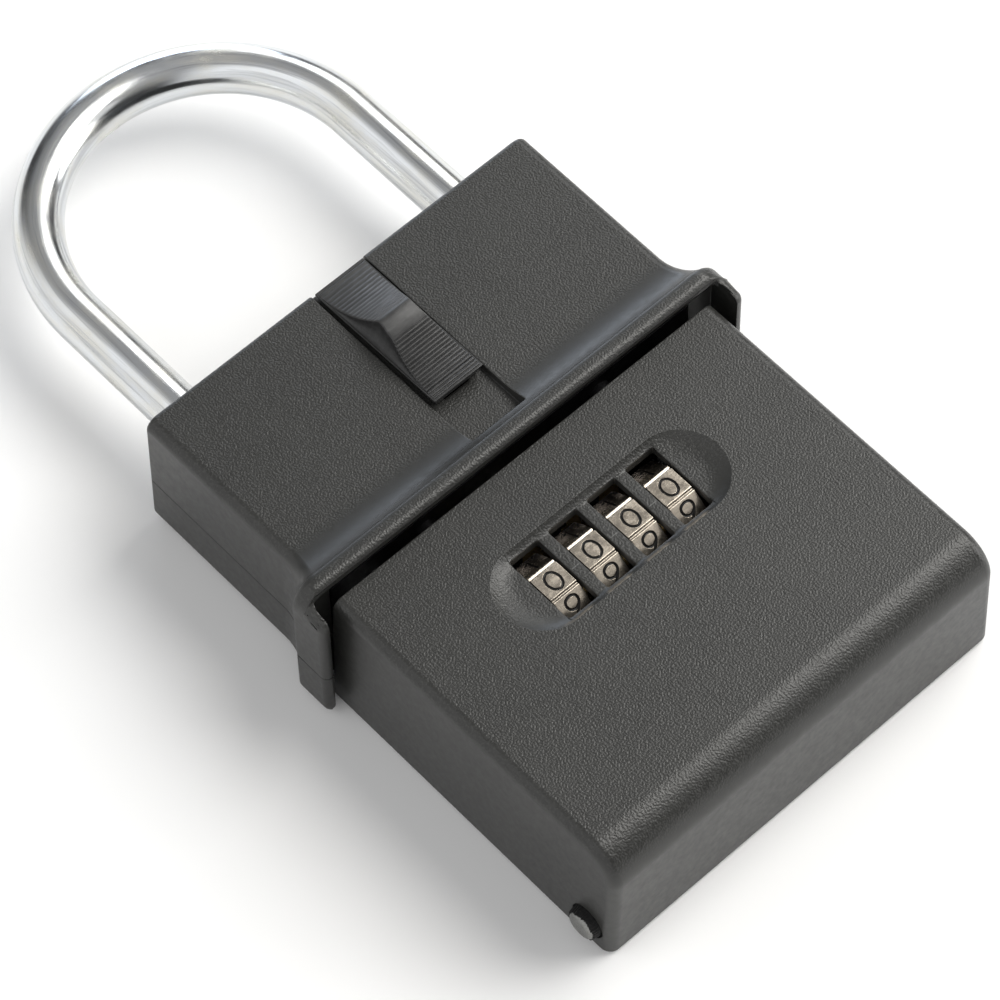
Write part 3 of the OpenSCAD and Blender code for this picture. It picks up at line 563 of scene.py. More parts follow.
def collar_section(share, inset=0.0):
    """Cross-section at a share of the collar: 0 is the plain housing and 1 the full collar."""
    side = BACK_HALF - 0.4
    half_front = FRONT_HALF + (COLLAR_HALF - FRONT_HALF) * share - inset
    half_back = side + (COLLAR_HALF - side) * share - inset
    top = CASE_T + (COLLAR_Z - CASE_T) * share - inset
    return section(half_front, half_back, top, 1.8 + 2.6 * share, 2.4 + inset * 0.2)


def ear_section(y, inset=0.0):
    """Cross-section over the ears beside the door, whose rounded tops rise slowly to the lip."""
    share = min(max((y + EAR_DROP) / (EAR_DROP + LIP_Y), 0.0), 1.0)
    half, top = COLLAR_HALF - inset, DOOR_T + 0.1 + 1.3 * share - inset
    return section(half, half, top, max(1.3 + 0.5 * share - inset, 0.3), 2.4 + inset * 0.2)


def housing_rings():
    """Rows of sections from the top end over the flare and the bead to the ears."""
    sizes = sizes_now()
    crown, bead_y, flare_len, sweep, steps = 0.8, PLATE_Y - 0.3, 6.6, 1.2, 20

    def rounded(end, r, way):
        """Rows of a quarter round of radius r at an end of the housing."""
        return [(end + way * r * (1 - s), r * (1 - c)) for c, s in map(polar, range(90, -1, -15))]

    rows = [(y, collar_section(0, inset)) for y, inset in rounded(HOUSE_LEN, crown, -1)]
    rows.append((bead_y + flare_len + 0.01, collar_section(0)))
    for i in range(steps + 1):
        u = i / steps
        rise = (sweep - math.sqrt(sweep ** 2 - u * u)) / (sweep - math.sqrt(sweep ** 2 - 1))
        rows.append((bead_y + flare_len * (1 - u), collar_section(0.8 * rise)))
    for y, share in ((0.04, 0.8), (0.1, 0.83), (0.22, 0.9), (0.42, 0.95), (0.7, 0.985), (1.1, 1.0)):
        rows.append((bead_y - y, collar_section(share)))
    rows.append((LIP_Y + 0.15, collar_section(1)))
    rows += [(y, ear_section(y)) for y in (LIP_Y + 0.05, LIP_Y * 0.5, -EAR_DROP * 0.3, -EAR_DROP * 0.6)]
    tips = rounded(-EAR_DROP, sizes.ear_round / MM, 1)
    rows += [(y, ear_section(y, inset)) for y, inset in reversed(tips)]
    return [[at(x, y, z) for x, z in ring] for y, ring in rows]


def collar_keep():
    """Side view of what the collar keeps: a round-nosed lip in front and ears with round lower tips."""
    tip, nose, far = 2.2, LIP_WALL * 0.85, HOUSE_LEN + 10
    return ([(far, -1), (tip - EAR_DROP, -1)] + arc(tip - EAR_DROP, tip, tip, 270, 180, 10)
            + [(-EAR_DROP, DOOR_T + 0.8)] + arc(LIP_Y + nose, COLLAR_Z - nose, nose, 180, 90, 12)
            + [(LIP_Y + nose + 1, COLLAR_Z + 1), (far, COLLAR_Z + 1)])


def mouth_outline(r):
    """Front view of the mouth that the door closes, with corners of radius r."""
    half, top = COLLAR_HALF - EAR_WALL, COLLAR_Z - LIP_WALL
    corners = arc(half - r, top - r, r, 0, 90, 10) + arc(r - half, top - r, r, 90, 180, 10)
    return [(half, -1)] + corners + [(-half, -1)]


def housing_solid(name, material, plain):
    """The hollow housing with its mouth open to the door."""
    obj = skinned(name, housing_rings(), material)
    wide, inner = COLLAR_HALF + 1, FRONT_HALF - WALL
    carve(obj, lambda bm: prism(bm, collar_keep(), -wide, wide, along_x), material, "INTERSECT")

    def hollow(bm):
        block(bm, -inner, inner, MOUTH_D - 1, HOUSE_LEN - WALL, BACK_WALL, CASE_T - FACE_WALL)

    def opening(bm):
        step, deep = LIP_Y + 0.1, COLLAR_R - EAR_WALL
        rows = ((-EAR_DROP - 1, 0.9), (step - 0.05, 0.9), (step + 0.1, deep), (MOUTH_D, deep))
        skin(bm, [[at(x, y, z) for x, z in mouth_outline(r)] for y, r in rows])

    def leg_holes(bm):
        for side in (-1, 1):
            ring = circle(side * LEG_X, ROD_Z, ROD_R + 0.3, 48)
            skin(bm, [[at(x, y, z) for x, z in ring] for y in (HOUSE_LEN - WALL - 1, HOUSE_LEN + 1)])

    for tool in (hollow, opening, leg_holes):
        carve(obj, tool, plain)
    return obj


def half_housing(name, material, plain, low, high):
    """The part of the housing between two heights."""
    obj = housing_solid(name, material, plain)
    wide = COLLAR_HALF + 1
    carve(obj, lambda bm: block(bm, -wide, wide, -EAR_DROP - 1, HOUSE_LEN + 1, low, high), plain, "INTERSECT")
    return obj


def build_front_housing():
    grained, plain = case_plastic(True), case_plastic(False)
    obj = half_housing("housing_front", grained, plain, SEAM_Z, COLLAR_Z + 1)
    stem_half, stem_low, stem_high = 2.5, 14.6, 29.9
    ceiling, boss, boss_low, block_len = CASE_T - FACE_WALL, 2.8, SEAM_Z - 8.1, 9

    def channel(bm):
        block(bm, -CHANNEL_HALF, CHANNEL_HALF, CHANNEL_END, HOUSE_LEN + 1, CHANNEL_Z, COLLAR_Z + 1)

    def stem_slot(bm):
        block(bm, -stem_half, stem_half, stem_low, stem_high, ceiling - 1, CASE_T)

    def bosses(bm):
        for x, y in HOUSING_SCREWS:
            prism(bm, circle(x, y, boss, 32), boss_low, ceiling + 0.02, along_z)
        for x in BULKHEAD_SCREW_XS:
            block(bm, x - boss, x + boss, PLATE_Y, PLATE_Y + block_len, ceiling - 4 - boss, ceiling + 0.02)

    carve(obj, channel, grained)
    carve(obj, stem_slot, plain)
    carve(obj, bosses, plain, "UNION")
    soften(obj, sizes_now().edge)
    dress(obj, "case", "case_plastic", "front_shell")


def heel_arm():
    """Side view of a hinge arm that clears the door's swinging corner and ends in an eye round the pin."""
    reach, top, turn = 10.3, 10.6, 24
    under = math.sqrt(SWING_R ** 2 - PIN_Z ** 2)
    ring = arc(PIN_Y, PIN_Z, SWING_R, -math.degrees(math.atan2(PIN_Z, under)), turn, 12)
    eye = arc(PIN_Y, PIN_Z, BARREL_R, turn, -240, 24)
    return ring + eye + [(PIN_Y - BARREL_R, PIN_Z + BARREL_R * math.sqrt(3)), (PIN_Y - BARREL_R, top),
                         (PIN_Y + reach, top), (PIN_Y + reach, 0)]


def build_rear_housing():
    plain = case_plastic(False)
    obj = half_housing("housing_back", plain, plain, -1, SEAM_Z)
    tray_wall, tray_high, pin_bore = 2, 9, 1.31
    tray_out = BACK_HALF - WALL - 0.85
    tray_in = tray_out - tray_wall
    head_r, head_deep, shank_r = 2.35, 1.3, 1.25

    def tray(bm):
        block(bm, -tray_out, tray_out, TRAY_START, MOUTH_D + 0.8, 0, BACK_WALL)

    def tray_sides(bm):
        for x in (-tray_out, tray_in):
            block(bm, x, x + tray_wall, TRAY_START, MOUTH_D, 0.01, tray_high)

    def arms(bm):
        for x in (-tray_out, tray_in):
            prism(bm, heel_arm(), x + 0.01, x + tray_wall - 0.01, along_x)

    for tool in (tray, tray_sides, arms):
        carve(obj, tool, plain, "UNION")

    def bores(bm):
        cylinder_x(bm, PIN_Y, PIN_Z, pin_bore, -tray_out - 1, tray_out + 1)
        for x, y in HOUSING_SCREWS:
            prism(bm, circle(x, y, head_r, 32), -1, head_deep, along_z)
            prism(bm, circle(x, y, shank_r, 32), head_deep - 0.1, BACK_WALL + 1, along_z)

    carve(obj, bores, plain)
    soften(obj, sizes_now().edge)
    dress(obj, "case", "case_plastic", "rear_shell")


# Door

def door_rings():
    """The door's side profile carried across X, drawn in towards both sides so the edges are rounded."""
    fillet, big, heel = 1.8, 6.2, 0.6
    bottom = -DOOR_LEN
    profile = [(y, z, 0, -1) for y, z in ((0, DOOR_T), (-8, DOOR_T), (-36, DOOR_T))]
    for y, z in arc(bottom + big, DOOR_T - big, big, 90, 180, 20):
        profile.append((y, z, -(y - bottom - big) / big, -(z - DOOR_T + big) / big))
    profile += [(bottom, z, 1, 0) for z in (14, 9, 4)]
    profile += [(y, z, 1, 0.3 * (1 - z / heel)) for y, z in arc(bottom + heel, heel, heel, 180, 270, 6)]
    profile += [(y, 0, 0, 0.3) for y in (-45, -30, 0)]
    rings = []
    for side in (1, -1):
        angles = range(0, 91, 9) if side > 0 else range(90, -1, -9)
        for a in angles:
            c, s = polar(a)
            drawn, out = fillet * (1 - s), fillet * (1 - c)
            ring = []
            for y, z, vy, vz in profile:
                half = BACK_HALF - z / DOOR_T
                ring.append(at(side * (half - out), y + vy * drawn, z + vz * drawn))
            rings.append(ring)
    return rings


def dish(bm):
    """The recess round the dials: steep long sides and broad scooped ends."""
    half, end_r, depth, reach, drop = 20.8, 7.4, 1.0, 4.6, 1.6
    rings = []
    for t in (-1, 0.0, 0.04, 0.1, 0.18, 0.28, 0.4, 0.52, 0.64, 0.76, 0.88, 1.0):
        s = max(t, 0.0)
        r = end_r - drop * s + (0.1 if t < 0 else 0)
        straight = half - end_r - (reach - drop) * s
        outline = arc(straight, 0, r, -90, 90, 28) + arc(-straight, 0, r, 90, 270, 28)
        z = DOOR_T + 1 if t < 0 else DOOR_T - depth * (1 - (1 - s) ** 2)
        rings.append([at(x, DIAL_Y + y, z) for x, y in outline])
    skin(bm, rings)


def door_room():
    """Side view of the room inside the door, above the heel that carries the hinge."""
    top, end, knuckle = DOOR_T - FACE_WALL, WALL - DOOR_LEN, 9.0
    heel = [(PIN_Y + math.sqrt(knuckle ** 2 - (PIN_Z - z) ** 2), z) for z in (-1, -0.2, 0.6, 1.2, HEEL_WALL)]
    return ([(2, -1)] + heel + arc(end + 0.5, HEEL_WALL + 0.5, 0.5, 270, 180, 3)
            + arc(end + 1, top - 1, 1, 180, 90, 4) + [(2, top)])


def build_door():
    grained, plain = case_plastic(True), case_plastic(False)
    obj = skinned("door", door_rings(), grained)
    low_half, high_half, top = BACK_HALF - WALL, FRONT_HALF - WALL, DOOR_T - FACE_WALL
    slot_in, slot_high, bearing, post, post_low = 32.75, 3.2, 3.2, 2.8, 6.7
    pin_bore, head_r, head_deep, axle_bore, screw_bore = 1.35, 2.95, 0.7, 2.02, 1.15

    def room(bm):
        outline = door_room()
        rings = []
        for side in (-1, 1):
            halves = [low_half + (high_half - low_half) * (z + 1) / (top + 1) for _, z in outline]
            rings.append([at(side * half, y, z) for half, (y, z) in zip(halves, outline)])
        skin(bm, rings)

    def slots(bm):
        for side in (-1, 1):
            xs = sorted((side * slot_in, side * low_half))
            block(bm, xs[0], xs[1], PIN_Y - 0.3, PIN_Y + 10, -1, slot_high)

    carve(obj, room, plain)
    carve(obj, slots, plain)
    first, last = DIAL_XS[0] - DIAL_W / 2, DIAL_XS[-1] + DIAL_PITCH - DIAL_W / 2

    def inner_posts(bm):
        for x, y in COVER_SCREWS:
            prism(bm, circle(x, y, post, 32), post_low, top + 0.02, along_z)
        for x in (first - bearing, last + 0.1):
            block(bm, x, x + 3.1, DIAL_Y - bearing, DIAL_Y + bearing, DIAL_Z - bearing, top + 0.02)

    carve(obj, inner_posts, plain, "UNION")
    carve(obj, dish, grained)

    def windows(bm):
        half_x, half_y = DIAL_W / 2 + 0.2, 6.25
        for x in DIAL_XS:
            outline = soft_box(x - half_x, x + half_x, DIAL_Y - half_y, DIAL_Y + half_y, 0.3)
            prism(bm, outline, top - 1, DOOR_T + 1, along_z)

    carve(obj, windows, plain)

    def bores(bm):
        cylinder_x(bm, PIN_Y, PIN_Z, pin_bore, -BACK_HALF - 2, BACK_HALF + 2)
        for side in (-1, 1):
            xs = sorted((side * (BACK_HALF - head_deep), side * (BACK_HALF + 3)))
            cylinder_x(bm, PIN_Y, PIN_Z, head_r, xs[0], xs[1])

    carve(obj, bores, plain)
    carve(obj, lambda bm: cylinder_x(bm, DIAL_Y, DIAL_Z, axle_bore, -21, 21), plain)

    def screw_bores(bm):
        for x, y in COVER_SCREWS:
            prism(bm, circle(x, y, screw_bore, 24), 5, 14, along_z)

    carve(obj, screw_bores, plain)
    soften(obj, sizes_now().edge * 0.8)
    dress(obj, "door", "case_plastic", "door_shell")


def build_index_lines():
    """Short printed lines on the bars between the windows, level with the middle of the dials."""
    bm = bmesh.new()
    z, half = DOOR_T - 1.0, 0.72
    for x in DIAL_XS[:-1]:
        middle = x + DIAL_PITCH / 2
        outline = soft_box(middle - half, middle + half, DIAL_Y - 0.62, DIAL_Y - 0.46, 0.07, 3)
        prism(bm, outline, z - 0.004, z + 0.008, along_z)
    obj = add_object("index_lines", bm, index_paint())
    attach(obj, "door")


# Thumb slide

def hollow_curve(a, b, sag, ribs, depth, samples=6):
    """Points from a to b on a hollow arc, with rounded ribs parted by narrow grooves."""
    a, b = Vector(a), Vector(b)
    along = b - a
    out = Vector((along.y, -along.x)).normalized()
    if out.y < 0:
        out = -out
    points = []
    count = ribs * samples
    for i in range(count + 1):
        u = i / count
        phase = (i % samples) / samples
        groove = math.cos(2 * math.pi * phase) * 0.5 + 0.5
        points.append(a + along * u - out * (4 * sag * u * (1 - u) + depth * groove ** 2.2))
    return points


def build_slide():
    """Foot plate and stem, and on them the wedge with its two hollow ribbed faces and hollow sides."""
    sizes = sizes_now()
    plastic = slide_plastic()
    top_y, end_y = (SLIDE_HIGH.y - SPLIT) / MM, (SLIDE_LOW.y - SPLIT) / MM
    half, crest_z = SLIDE_HIGH.x / MM, SLIDE_HIGH.z / MM
    crest_y, base_half, crest_half = top_y - 12.4, 4.5, 2.9
    foot_top, foot_end = CASE_T + 0.4, CASE_T + 1.2

    def foot_z(y):
        return foot_end + (foot_top - foot_end) * (y - end_y) / (top_y - end_y)

    short_face = hollow_curve((top_y - 0.5, foot_z(top_y - 0.5) + 0.05), (crest_y + 0.5, crest_z - 0.12),
                              1.0, sizes.fine_ribs, 0.07)
    crest = [(crest_y + 0.25, crest_z - 0.02), (crest_y, crest_z), (crest_y - 0.5, crest_z - 0.05),
             (crest_y - 3.2, crest_z - 0.86)]
    long_face = hollow_curve((crest_y - 3.4, crest_z - 0.9), (end_y + 0.25, foot_z(end_y) + 0.05), 0.8,
                             sizes.coarse_ribs, 0.2)
    rings = []
    for y, z in [tuple(p) for p in short_face] + crest + [tuple(p) for p in long_face]:
        base = foot_z(y)
        rise = max(z - base, 0.0)
        share = rise / (crest_z - foot_top)
        side = base_half - (base_half - crest_half) * share
        r = min(0.28, rise * 0.45)
        hollow = 0.7 * share
        wall = [(base_half + (side - base_half) * t - hollow * math.sin(math.pi * t), base + (rise - r) * t)
                for t in (0.0, 0.15, 0.3, 0.45, 0.6, 0.75, 0.9)]
        nose = [(side - r + r * c, z - r + r * s) for c, s in map(polar, (0, 25, 50, 70, 90))]
        right = [(base_half, base - 0.3)] + wall + nose
        rings.append([at(x, y, h) for x, h in right + [(-x, h) for x, h in reversed(right)]])
    wedge = skinned("wedge", rings, plastic)
    bm = bmesh.new()
    floor = CHANNEL_Z + 0.15
    rim, under = 0.35, 0.6
    prism(bm, [(end_y, foot_z(end_y) - rim), (top_y, foot_z(top_y) - rim), (top_y, foot_z(top_y)),
               (end_y, foot_z(end_y))], -half, half, along_x)
    prism(bm, [(end_y + under, floor), (top_y, floor), (top_y, foot_z(top_y) - rim + 0.02),
               (end_y + under, foot_z(end_y) - rim + 0.02)], under - half, half - under, along_x)
    stem_half, stem_len, stem_top = 2.2, 7.2, (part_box("bolt_carrier")[1].y - SPLIT) / MM
    block(bm, -stem_half, stem_half, stem_top - stem_len, stem_top, SLIDE_LOW.z / MM, floor + 0.02)
    obj = add_object("thumb_slide_dressed", bm, plastic)
    soften(obj, 0.00016)
    smooth_faces(wedge, 50)
    join(obj, wedge)
    dress(obj, "slide", "slide_plastic", "thumb_slide")


def join(obj, other):
    """Adds the other object's mesh to obj and removes it."""
    bm = bmesh.new()
    bm.from_mesh(obj.data)
    bm.from_mesh(other.data)
    bm.to_mesh(obj.data)
    bm.free()
    bpy.data.objects.remove(other)


# Shackle

def build_shackle():
    """One bent rod, drawn as rings along its middle line, with its notch, groove and chamfered ends."""
    toe_end = HOUSE_LEN - 13.6
    notch = (toe_end + 3.2, toe_end + 8.2)
    clip = (HEEL_END + 1.2, HEEL_END + 2.2)
    stations = []

    def leg(x, y, r=ROD_R, cut=False):
        stations.append((Vector((x, y)), Vector((0, 1)) if x < 0 else Vector((0, -1)), r, cut))

    leg(-LEG_X, toe_end, ROD_R - 1)
    leg(-LEG_X, toe_end + 0.5, ROD_R - 0.35)
    leg(-LEG_X, toe_end + 1)
    leg(-LEG_X, notch[0])
    leg(-LEG_X, notch[0] + 0.01, cut=True)
    leg(-LEG_X, notch[1] - 0.01, cut=True)
    leg(-LEG_X, notch[1])
    for i in range(1, 16):
        leg(-LEG_X, notch[1] + (BOW_Y - notch[1]) * i / 16)
    for i in range(97):
        a = math.pi * (1 - i / 96)
        stations.append((Vector((LEG_X * math.cos(a), BOW_Y + LEG_X * math.sin(a))),
                         Vector((math.sin(a), -math.cos(a))), ROD_R, False))
    for i in range(1, 24):
        leg(LEG_X, BOW_Y + (clip[1] + 0.01 - BOW_Y) * i / 24)
    for y, r in ((clip[1] + 0.01, ROD_R), (clip[1], ROD_R - 1), (clip[0], ROD_R - 1), (clip[0] - 0.01, ROD_R),
                 (HEEL_END + 1, ROD_R), (HEEL_END + 0.5, ROD_R - 0.35), (HEEL_END, ROD_R - 1)):
        leg(LEG_X, y, r)
    bm = bmesh.new()
    rod = bm.verts.layers.float_vector.new("rod")
    travel, rings, unrolled = 0.0, [], []
    for k, (centre, ahead, r, cut) in enumerate(stations):
        if k:
            travel += (centre - stations[k - 1][0]).length
        out = Vector((-ahead.y, ahead.x))
        ring = []
        for a in full_turn(64):
            side, up = r * math.cos(a), r * math.sin(a)
            x = centre.x + out.x * side
            if cut:
                x = min(x, centre.x + ROD_R - 2)
            ring.append(at(x, centre.y + out.y * side, ROD_Z + up))
            unrolled.append(Vector((ROD_R * math.cos(a), ROD_R * math.sin(a), travel)) * MM)
        rings.append(ring)
    rows = skin(bm, rings)
    for vert, place in zip([v for row in rows for v in row], unrolled):
        vert[rod] = place
    obj = add_object("shackle_rod", bm, rod_zinc())
    smooth_faces(obj, 40)
    dress(obj, "shackle", "shackle_steel", "shackle")


# Dials

STROKES = {
    0: [[(0.5, 1), (0.14, 0.86), (0, 0.6), (0, 0.4), (0.14, 0.14), (0.5, 0), (0.86, 0.14), (1, 0.4), (1, 0.6),
         (0.86, 0.86), (0.5, 1)]],
    1: [[(0.2, 0.8), (0.55, 1), (0.55, 0)]],
    2: [[(0.02, 0.78), (0.2, 0.96), (0.5, 1), (0.84, 0.9), (0.95, 0.7), (0.8, 0.48), (0, 0), (1, 0)]],
    3: [[(0.02, 0.85), (0.3, 1), (0.7, 1), (0.95, 0.8), (0.85, 0.58), (0.45, 0.53)],
        [(0.45, 0.53), (0.9, 0.46), (1, 0.22), (0.75, 0.02), (0.3, 0), (0, 0.15)]],
    4: [[(0.75, 0), (0.75, 1), (0, 0.3), (1, 0.3)]],
    5: [[(0.92, 1), (0.15, 1), (0.08, 0.56), (0.5, 0.64), (0.9, 0.5), (1, 0.28), (0.8, 0.05), (0.4, 0),
         (0, 0.12)]],
    6: [[(0.8, 1), (0.3, 0.66), (0.03, 0.36), (0.1, 0.1), (0.5, 0), (0.9, 0.12), (1, 0.34), (0.86, 0.56),
         (0.5, 0.64), (0.16, 0.52)]],
    7: [[(0, 1), (1, 1), (0.4, 0)]],
    8: [[(0.5, 0.54), (0.12, 0.66), (0.08, 0.86), (0.5, 1), (0.92, 0.86), (0.88, 0.66), (0.5, 0.54)],
        [(0.5, 0.54), (0.06, 0.4), (0, 0.16), (0.5, 0), (1, 0.16), (0.94, 0.4), (0.5, 0.54)]],
    9: [[(0.84, 0.48), (0.5, 0.36), (0.14, 0.44), (0, 0.66), (0.1, 0.9), (0.5, 1), (0.9, 0.9), (0.97, 0.64),
         (0.7, 0.34), (0.2, 0)]],
}


def is_closed(path):
    return (path[0] - path[-1]).length < 1e-6


def step_on(path, k):
    """Point k of a path: past an end it goes on round a closed path, and stays at the end of an open one."""
    last = len(path) - 1
    return path[k % last] if is_closed(path) else path[min(max(k, 0), last)]


def stroke_tube(bm, points, place, r, sides=8):
    """A closed tube along a path on a dial's face: the path that the cutter took."""
    path = [Vector(p) for p in points]
    rings = []
    for k, here in enumerate(path):
        before, after = step_on(path, k - 1), step_on(path, k + 1)
        way = ((after - here).normalized() + (here - before).normalized()).normalized()
        rings.append([place(here.x + way.y * r * math.cos(a), here.y - way.x * r * math.cos(a),
                            r * math.sin(a)) for a in full_turn(sides)])
    closed = is_closed(path)
    skin(bm, rings[:-1] if closed else rings, closed)


def smooth_path(points, steps=4):
    """A rounder path through the given points."""
    pts = [Vector(p) for p in points]
    out = []
    for k in range(len(pts) - 1):
        p0, p1, p2, p3 = step_on(pts, k - 1), pts[k], pts[k + 1], step_on(pts, k + 2)
        for i in range(steps):
            t = i / steps
            out.append(0.5 * ((2 * p1) + (p2 - p0) * t + (2 * p0 - 5 * p1 + 4 * p2 - p3) * t * t
                              + (3 * p1 - p0 - 3 * p2 + p3) * t * t * t))
    return [tuple(p) for p in out] + [tuple(pts[-1])]


def facet(k):
    """Directions out of flat k of a dial and up along it, in Y and Z."""
    c, s = polar(90 - 36 * k)
    return Vector((c, s)), Vector((s, -c))


def dial_outline():
    """Ten flats with a narrow groove along each ridge."""
    half = DIAL_R * math.sin(math.pi / 10)
    points = []
    for k in range(10):
        n, t = facet(k)
        for along, lift in ((-half + 0.16, -0.3), (-half + 0.3, -0.06), (-half + 0.42, 0.0),
                            (half - 0.42, 0.0), (half - 0.3, -0.06), (half - 0.16, -0.3)):
            p = n * (DIAL_FLAT + lift) + t * along
            points.append((p.x, p.y))
    return points


def build_dial_mesh():
    """One dial at X = 0, with its digits cut in and painted."""
    sizes, colours = sizes_now(), colours_now()
    metal = plated("dial_nickel", colours.dial, 0.24, 700, 0.000008, streak=(0.2, 1, 1), edge=0.00008)
    w = DIAL_W / 2
    outline = dial_outline()
    rings = []
    ends = ((-w, 0.22), (-w + 0.07, 0.07), (-w + 0.2, 0.0), (w - 0.2, 0.0), (w - 0.07, 0.07), (w, 0.22))
    for x, drawn in ends:
        size = 1 - drawn / DIAL_R
        rings.append([at(x, DIAL_Y + y * size, DIAL_Z + z * size) for y, z in outline])
    obj = skinned("dial", rings, metal)
    carve(obj, lambda bm: cylinder_x(bm, DIAL_Y, DIAL_Z, 5.15, -w - 1, w + 1, 60), metal)
    height, stroke = sizes.digit_height / MM, sizes.digit_stroke / MM
    width = height * 0.72

    def digits(bm):
        for digit, paths in STROKES.items():
            n, up = facet(digit)

            def place(x, y, lift):
                p = n * (DIAL_FLAT + 0.02 + lift) + up * (y - 0.5)
                return at(x - 0.5, DIAL_Y + p.x, DIAL_Z + p.y)

            for path in paths:
                run = path if digit in (1, 4, 7) else smooth_path(path)
                spread = [((x - 0.5) * width + 0.5, (y - 0.5) * height + 0.5) for x, y in run]
                stroke_tube(bm, spread, place, stroke / 2)

    carve(obj, digits, digit_paint())
    soften(obj, 0)
    return obj


def build_dials():
    dials = [build_dial_mesh()]
    dials += [link_new("dial", dials[0].data.copy()) for _ in DIAL_XS[1:]]
    for i, (obj, x) in enumerate(zip(dials, DIAL_XS), 1):
        obj.name = f"dial_{i}_dressed"
        obj.data.transform(Matrix.Translation((x * MM, 0, 0)))
        dress(obj, f"dial_{i}", "dial_metal", f"dial_wheel_{i}")


# Rivet and fittings

def build_hinge_pin():
    """The hinge rivet: a plain rod with a hammered, slightly ragged head at each end."""
    reach = PIN_HIGH.x / MM
    seat, r, head = reach - 2.0, 1.3, (PIN_HIGH.z - PIN_LOW.z) / 2 / MM - 0.28
    profile = [(0.05, reach - 0.05), (head * 0.4, reach), (head * 0.74, reach - 0.05),
               (head * 0.86, reach - 0.14), (head * 0.95, reach - 0.32), (head, reach - 0.6),
               (head * 0.99, reach - 1.3), (head * 0.92, seat), (r, seat)]
    rows = [(rad, x) for rad, x in profile] + [(rad, -x) for rad, x in reversed(profile)]
    rings = []
    for rad, x in rows:
        ring = []
        for a in full_turn(64):
            ragged = 1.0
            if rad > r + 0.3:
                ragged -= (0.016 * (1 + math.sin(3 * a + 0.7)) * 0.5
                           + 0.012 * (1 + math.sin(7 * a + x)) * 0.5)
            ring.append(at(x, PIN_Y + rad * ragged * math.cos(a), PIN_Z + rad * ragged * math.sin(a)))
        rings.append(ring)
    obj = skinned("hinge_rivet", rings, plated("rivet_zinc", (0.33, 0.33, 0.32), 0.45, 1100, 0.00012))
    smooth_faces(obj, 50)
    dress(obj, "case", "rivet_steel", "hinge_pin")


def build_rivet_shade_sleeves():
    """Ragged sleeves of black plastic round the two hammered heads, put there as painted shade on the heads'
    sides.
    """
    reach, outer = PIN_HIGH.x / MM, (PIN_HIGH.z - PIN_LOW.z) / 2 / MM
    low = reach - 1.9
    bm = bmesh.new()
    for side in (-1, 1):
        rings = []
        for a in full_turn(120):
            torn = 0.5 * noise_value.noise(Vector((1.9 * math.cos(a), 1.9 * math.sin(a), 3.0 * side)))
            nick = 0.5 * noise_value.noise(Vector((8 * math.cos(a), 8 * math.sin(a), 7.0 * side)))
            rim, top = outer - 0.12 + 0.45 * nick, reach - 0.4 + 0.4 * torn + 0.5 * nick
            inner = outer - 0.42 + 0.2 * torn
            points = [(outer - 0.3, low), (outer + 0.1, low), (rim + 0.1, low + 0.8), (rim, top - 0.15),
                      ((rim + inner) / 2, top), (inner, top - 0.1)]
            rings.append([at(side * x, PIN_Y + r * math.cos(a), PIN_Z + r * math.sin(a)) for r, x in points])
        skin(bm, rings, looped=True)
    # The sleeves are near black as painted shade round the heads.
    obj = add_object("rivet_shade_sleeves", bm, painted_shade_plastic())
    smooth_faces(obj, 60)
    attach(obj, "door")


def build_fittings():
    """Finishes of the inner pieces that keep their CAD shape."""
    sheet = plated("sheet_zinc", (0.62, 0.63, 0.65), 0.34, 500, 0.00002)
    # The bulkhead and its screws are near black as painted shade, so the mouth gap looks dark.
    painted_shade_steel = plated("painted_shade_steel_finish", (0.03, 0.03, 0.032), 0.5, 700, 0.00002)
    casting = plated("grey_casting", (0.55, 0.55, 0.54), 0.5, 1600, 0.00006, edge=0.0002)
    screws = plated("screw_zinc", (0.66, 0.66, 0.67), 0.3, 1500, 0.00002)
    spring = plated("blued_spring", (0.26, 0.28, 0.34), 0.3, 900, 0.00001)
    brass = plated("turned_brass", (0.34, 0.25, 0.12), 0.3, 900, 0.00002, streak=(1, 1, 0.1))
    finishes = {
        sheet: ["mechanism_cover", "shackle_catch"],
        painted_shade_steel: ["bulkhead", "bulkhead_screws"],
        casting: ["toe_guide", "heel_guide", "bolt_carrier"],
        screws: ["housing_screws", "carrier_screws", "cover_screws", "wheel_axle"],
        spring: ["heel_clip", "detent_spring", "click_spring"],
        brass: ["locking_comb", "code_lever"] + [f"code_hub_{i + 1}" for i in range(DIALS)],
    }
    for material, nodes in finishes.items():
        for name in nodes:
            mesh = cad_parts[name].data
            mesh.materials.clear()
            mesh.materials.append(material)


# Stage

def lamp(name, place, size, watts, colour):
    """A round soft lamp that looks at the middle of the box."""
    light = bpy.data.lights.new(name, "AREA")
    light.shape = "DISK"
    light.size = size
    light.energy = watts
    light.color = colour
    obj = link_new(name, light)
    obj.location = place
    obj.rotation_euler = (Vector((0, 0, 0.01)) - Vector(place)).to_track_quat("-Z", "Y").to_euler()


def background_rays(tree, glossy=1.0):
    """1 for rays that show the background: from the camera, through glass, by a share off shiny faces."""
    path = put(tree, "ShaderNodeLightPath").outputs
    straight = maths(tree, "MAXIMUM", path["Is Camera Ray"], path["Is Transmission Ray"])
    return maths(tree, "MAXIMUM", straight, maths(tree, "MULTIPLY", path["Is Glossy Ray"], glossy))


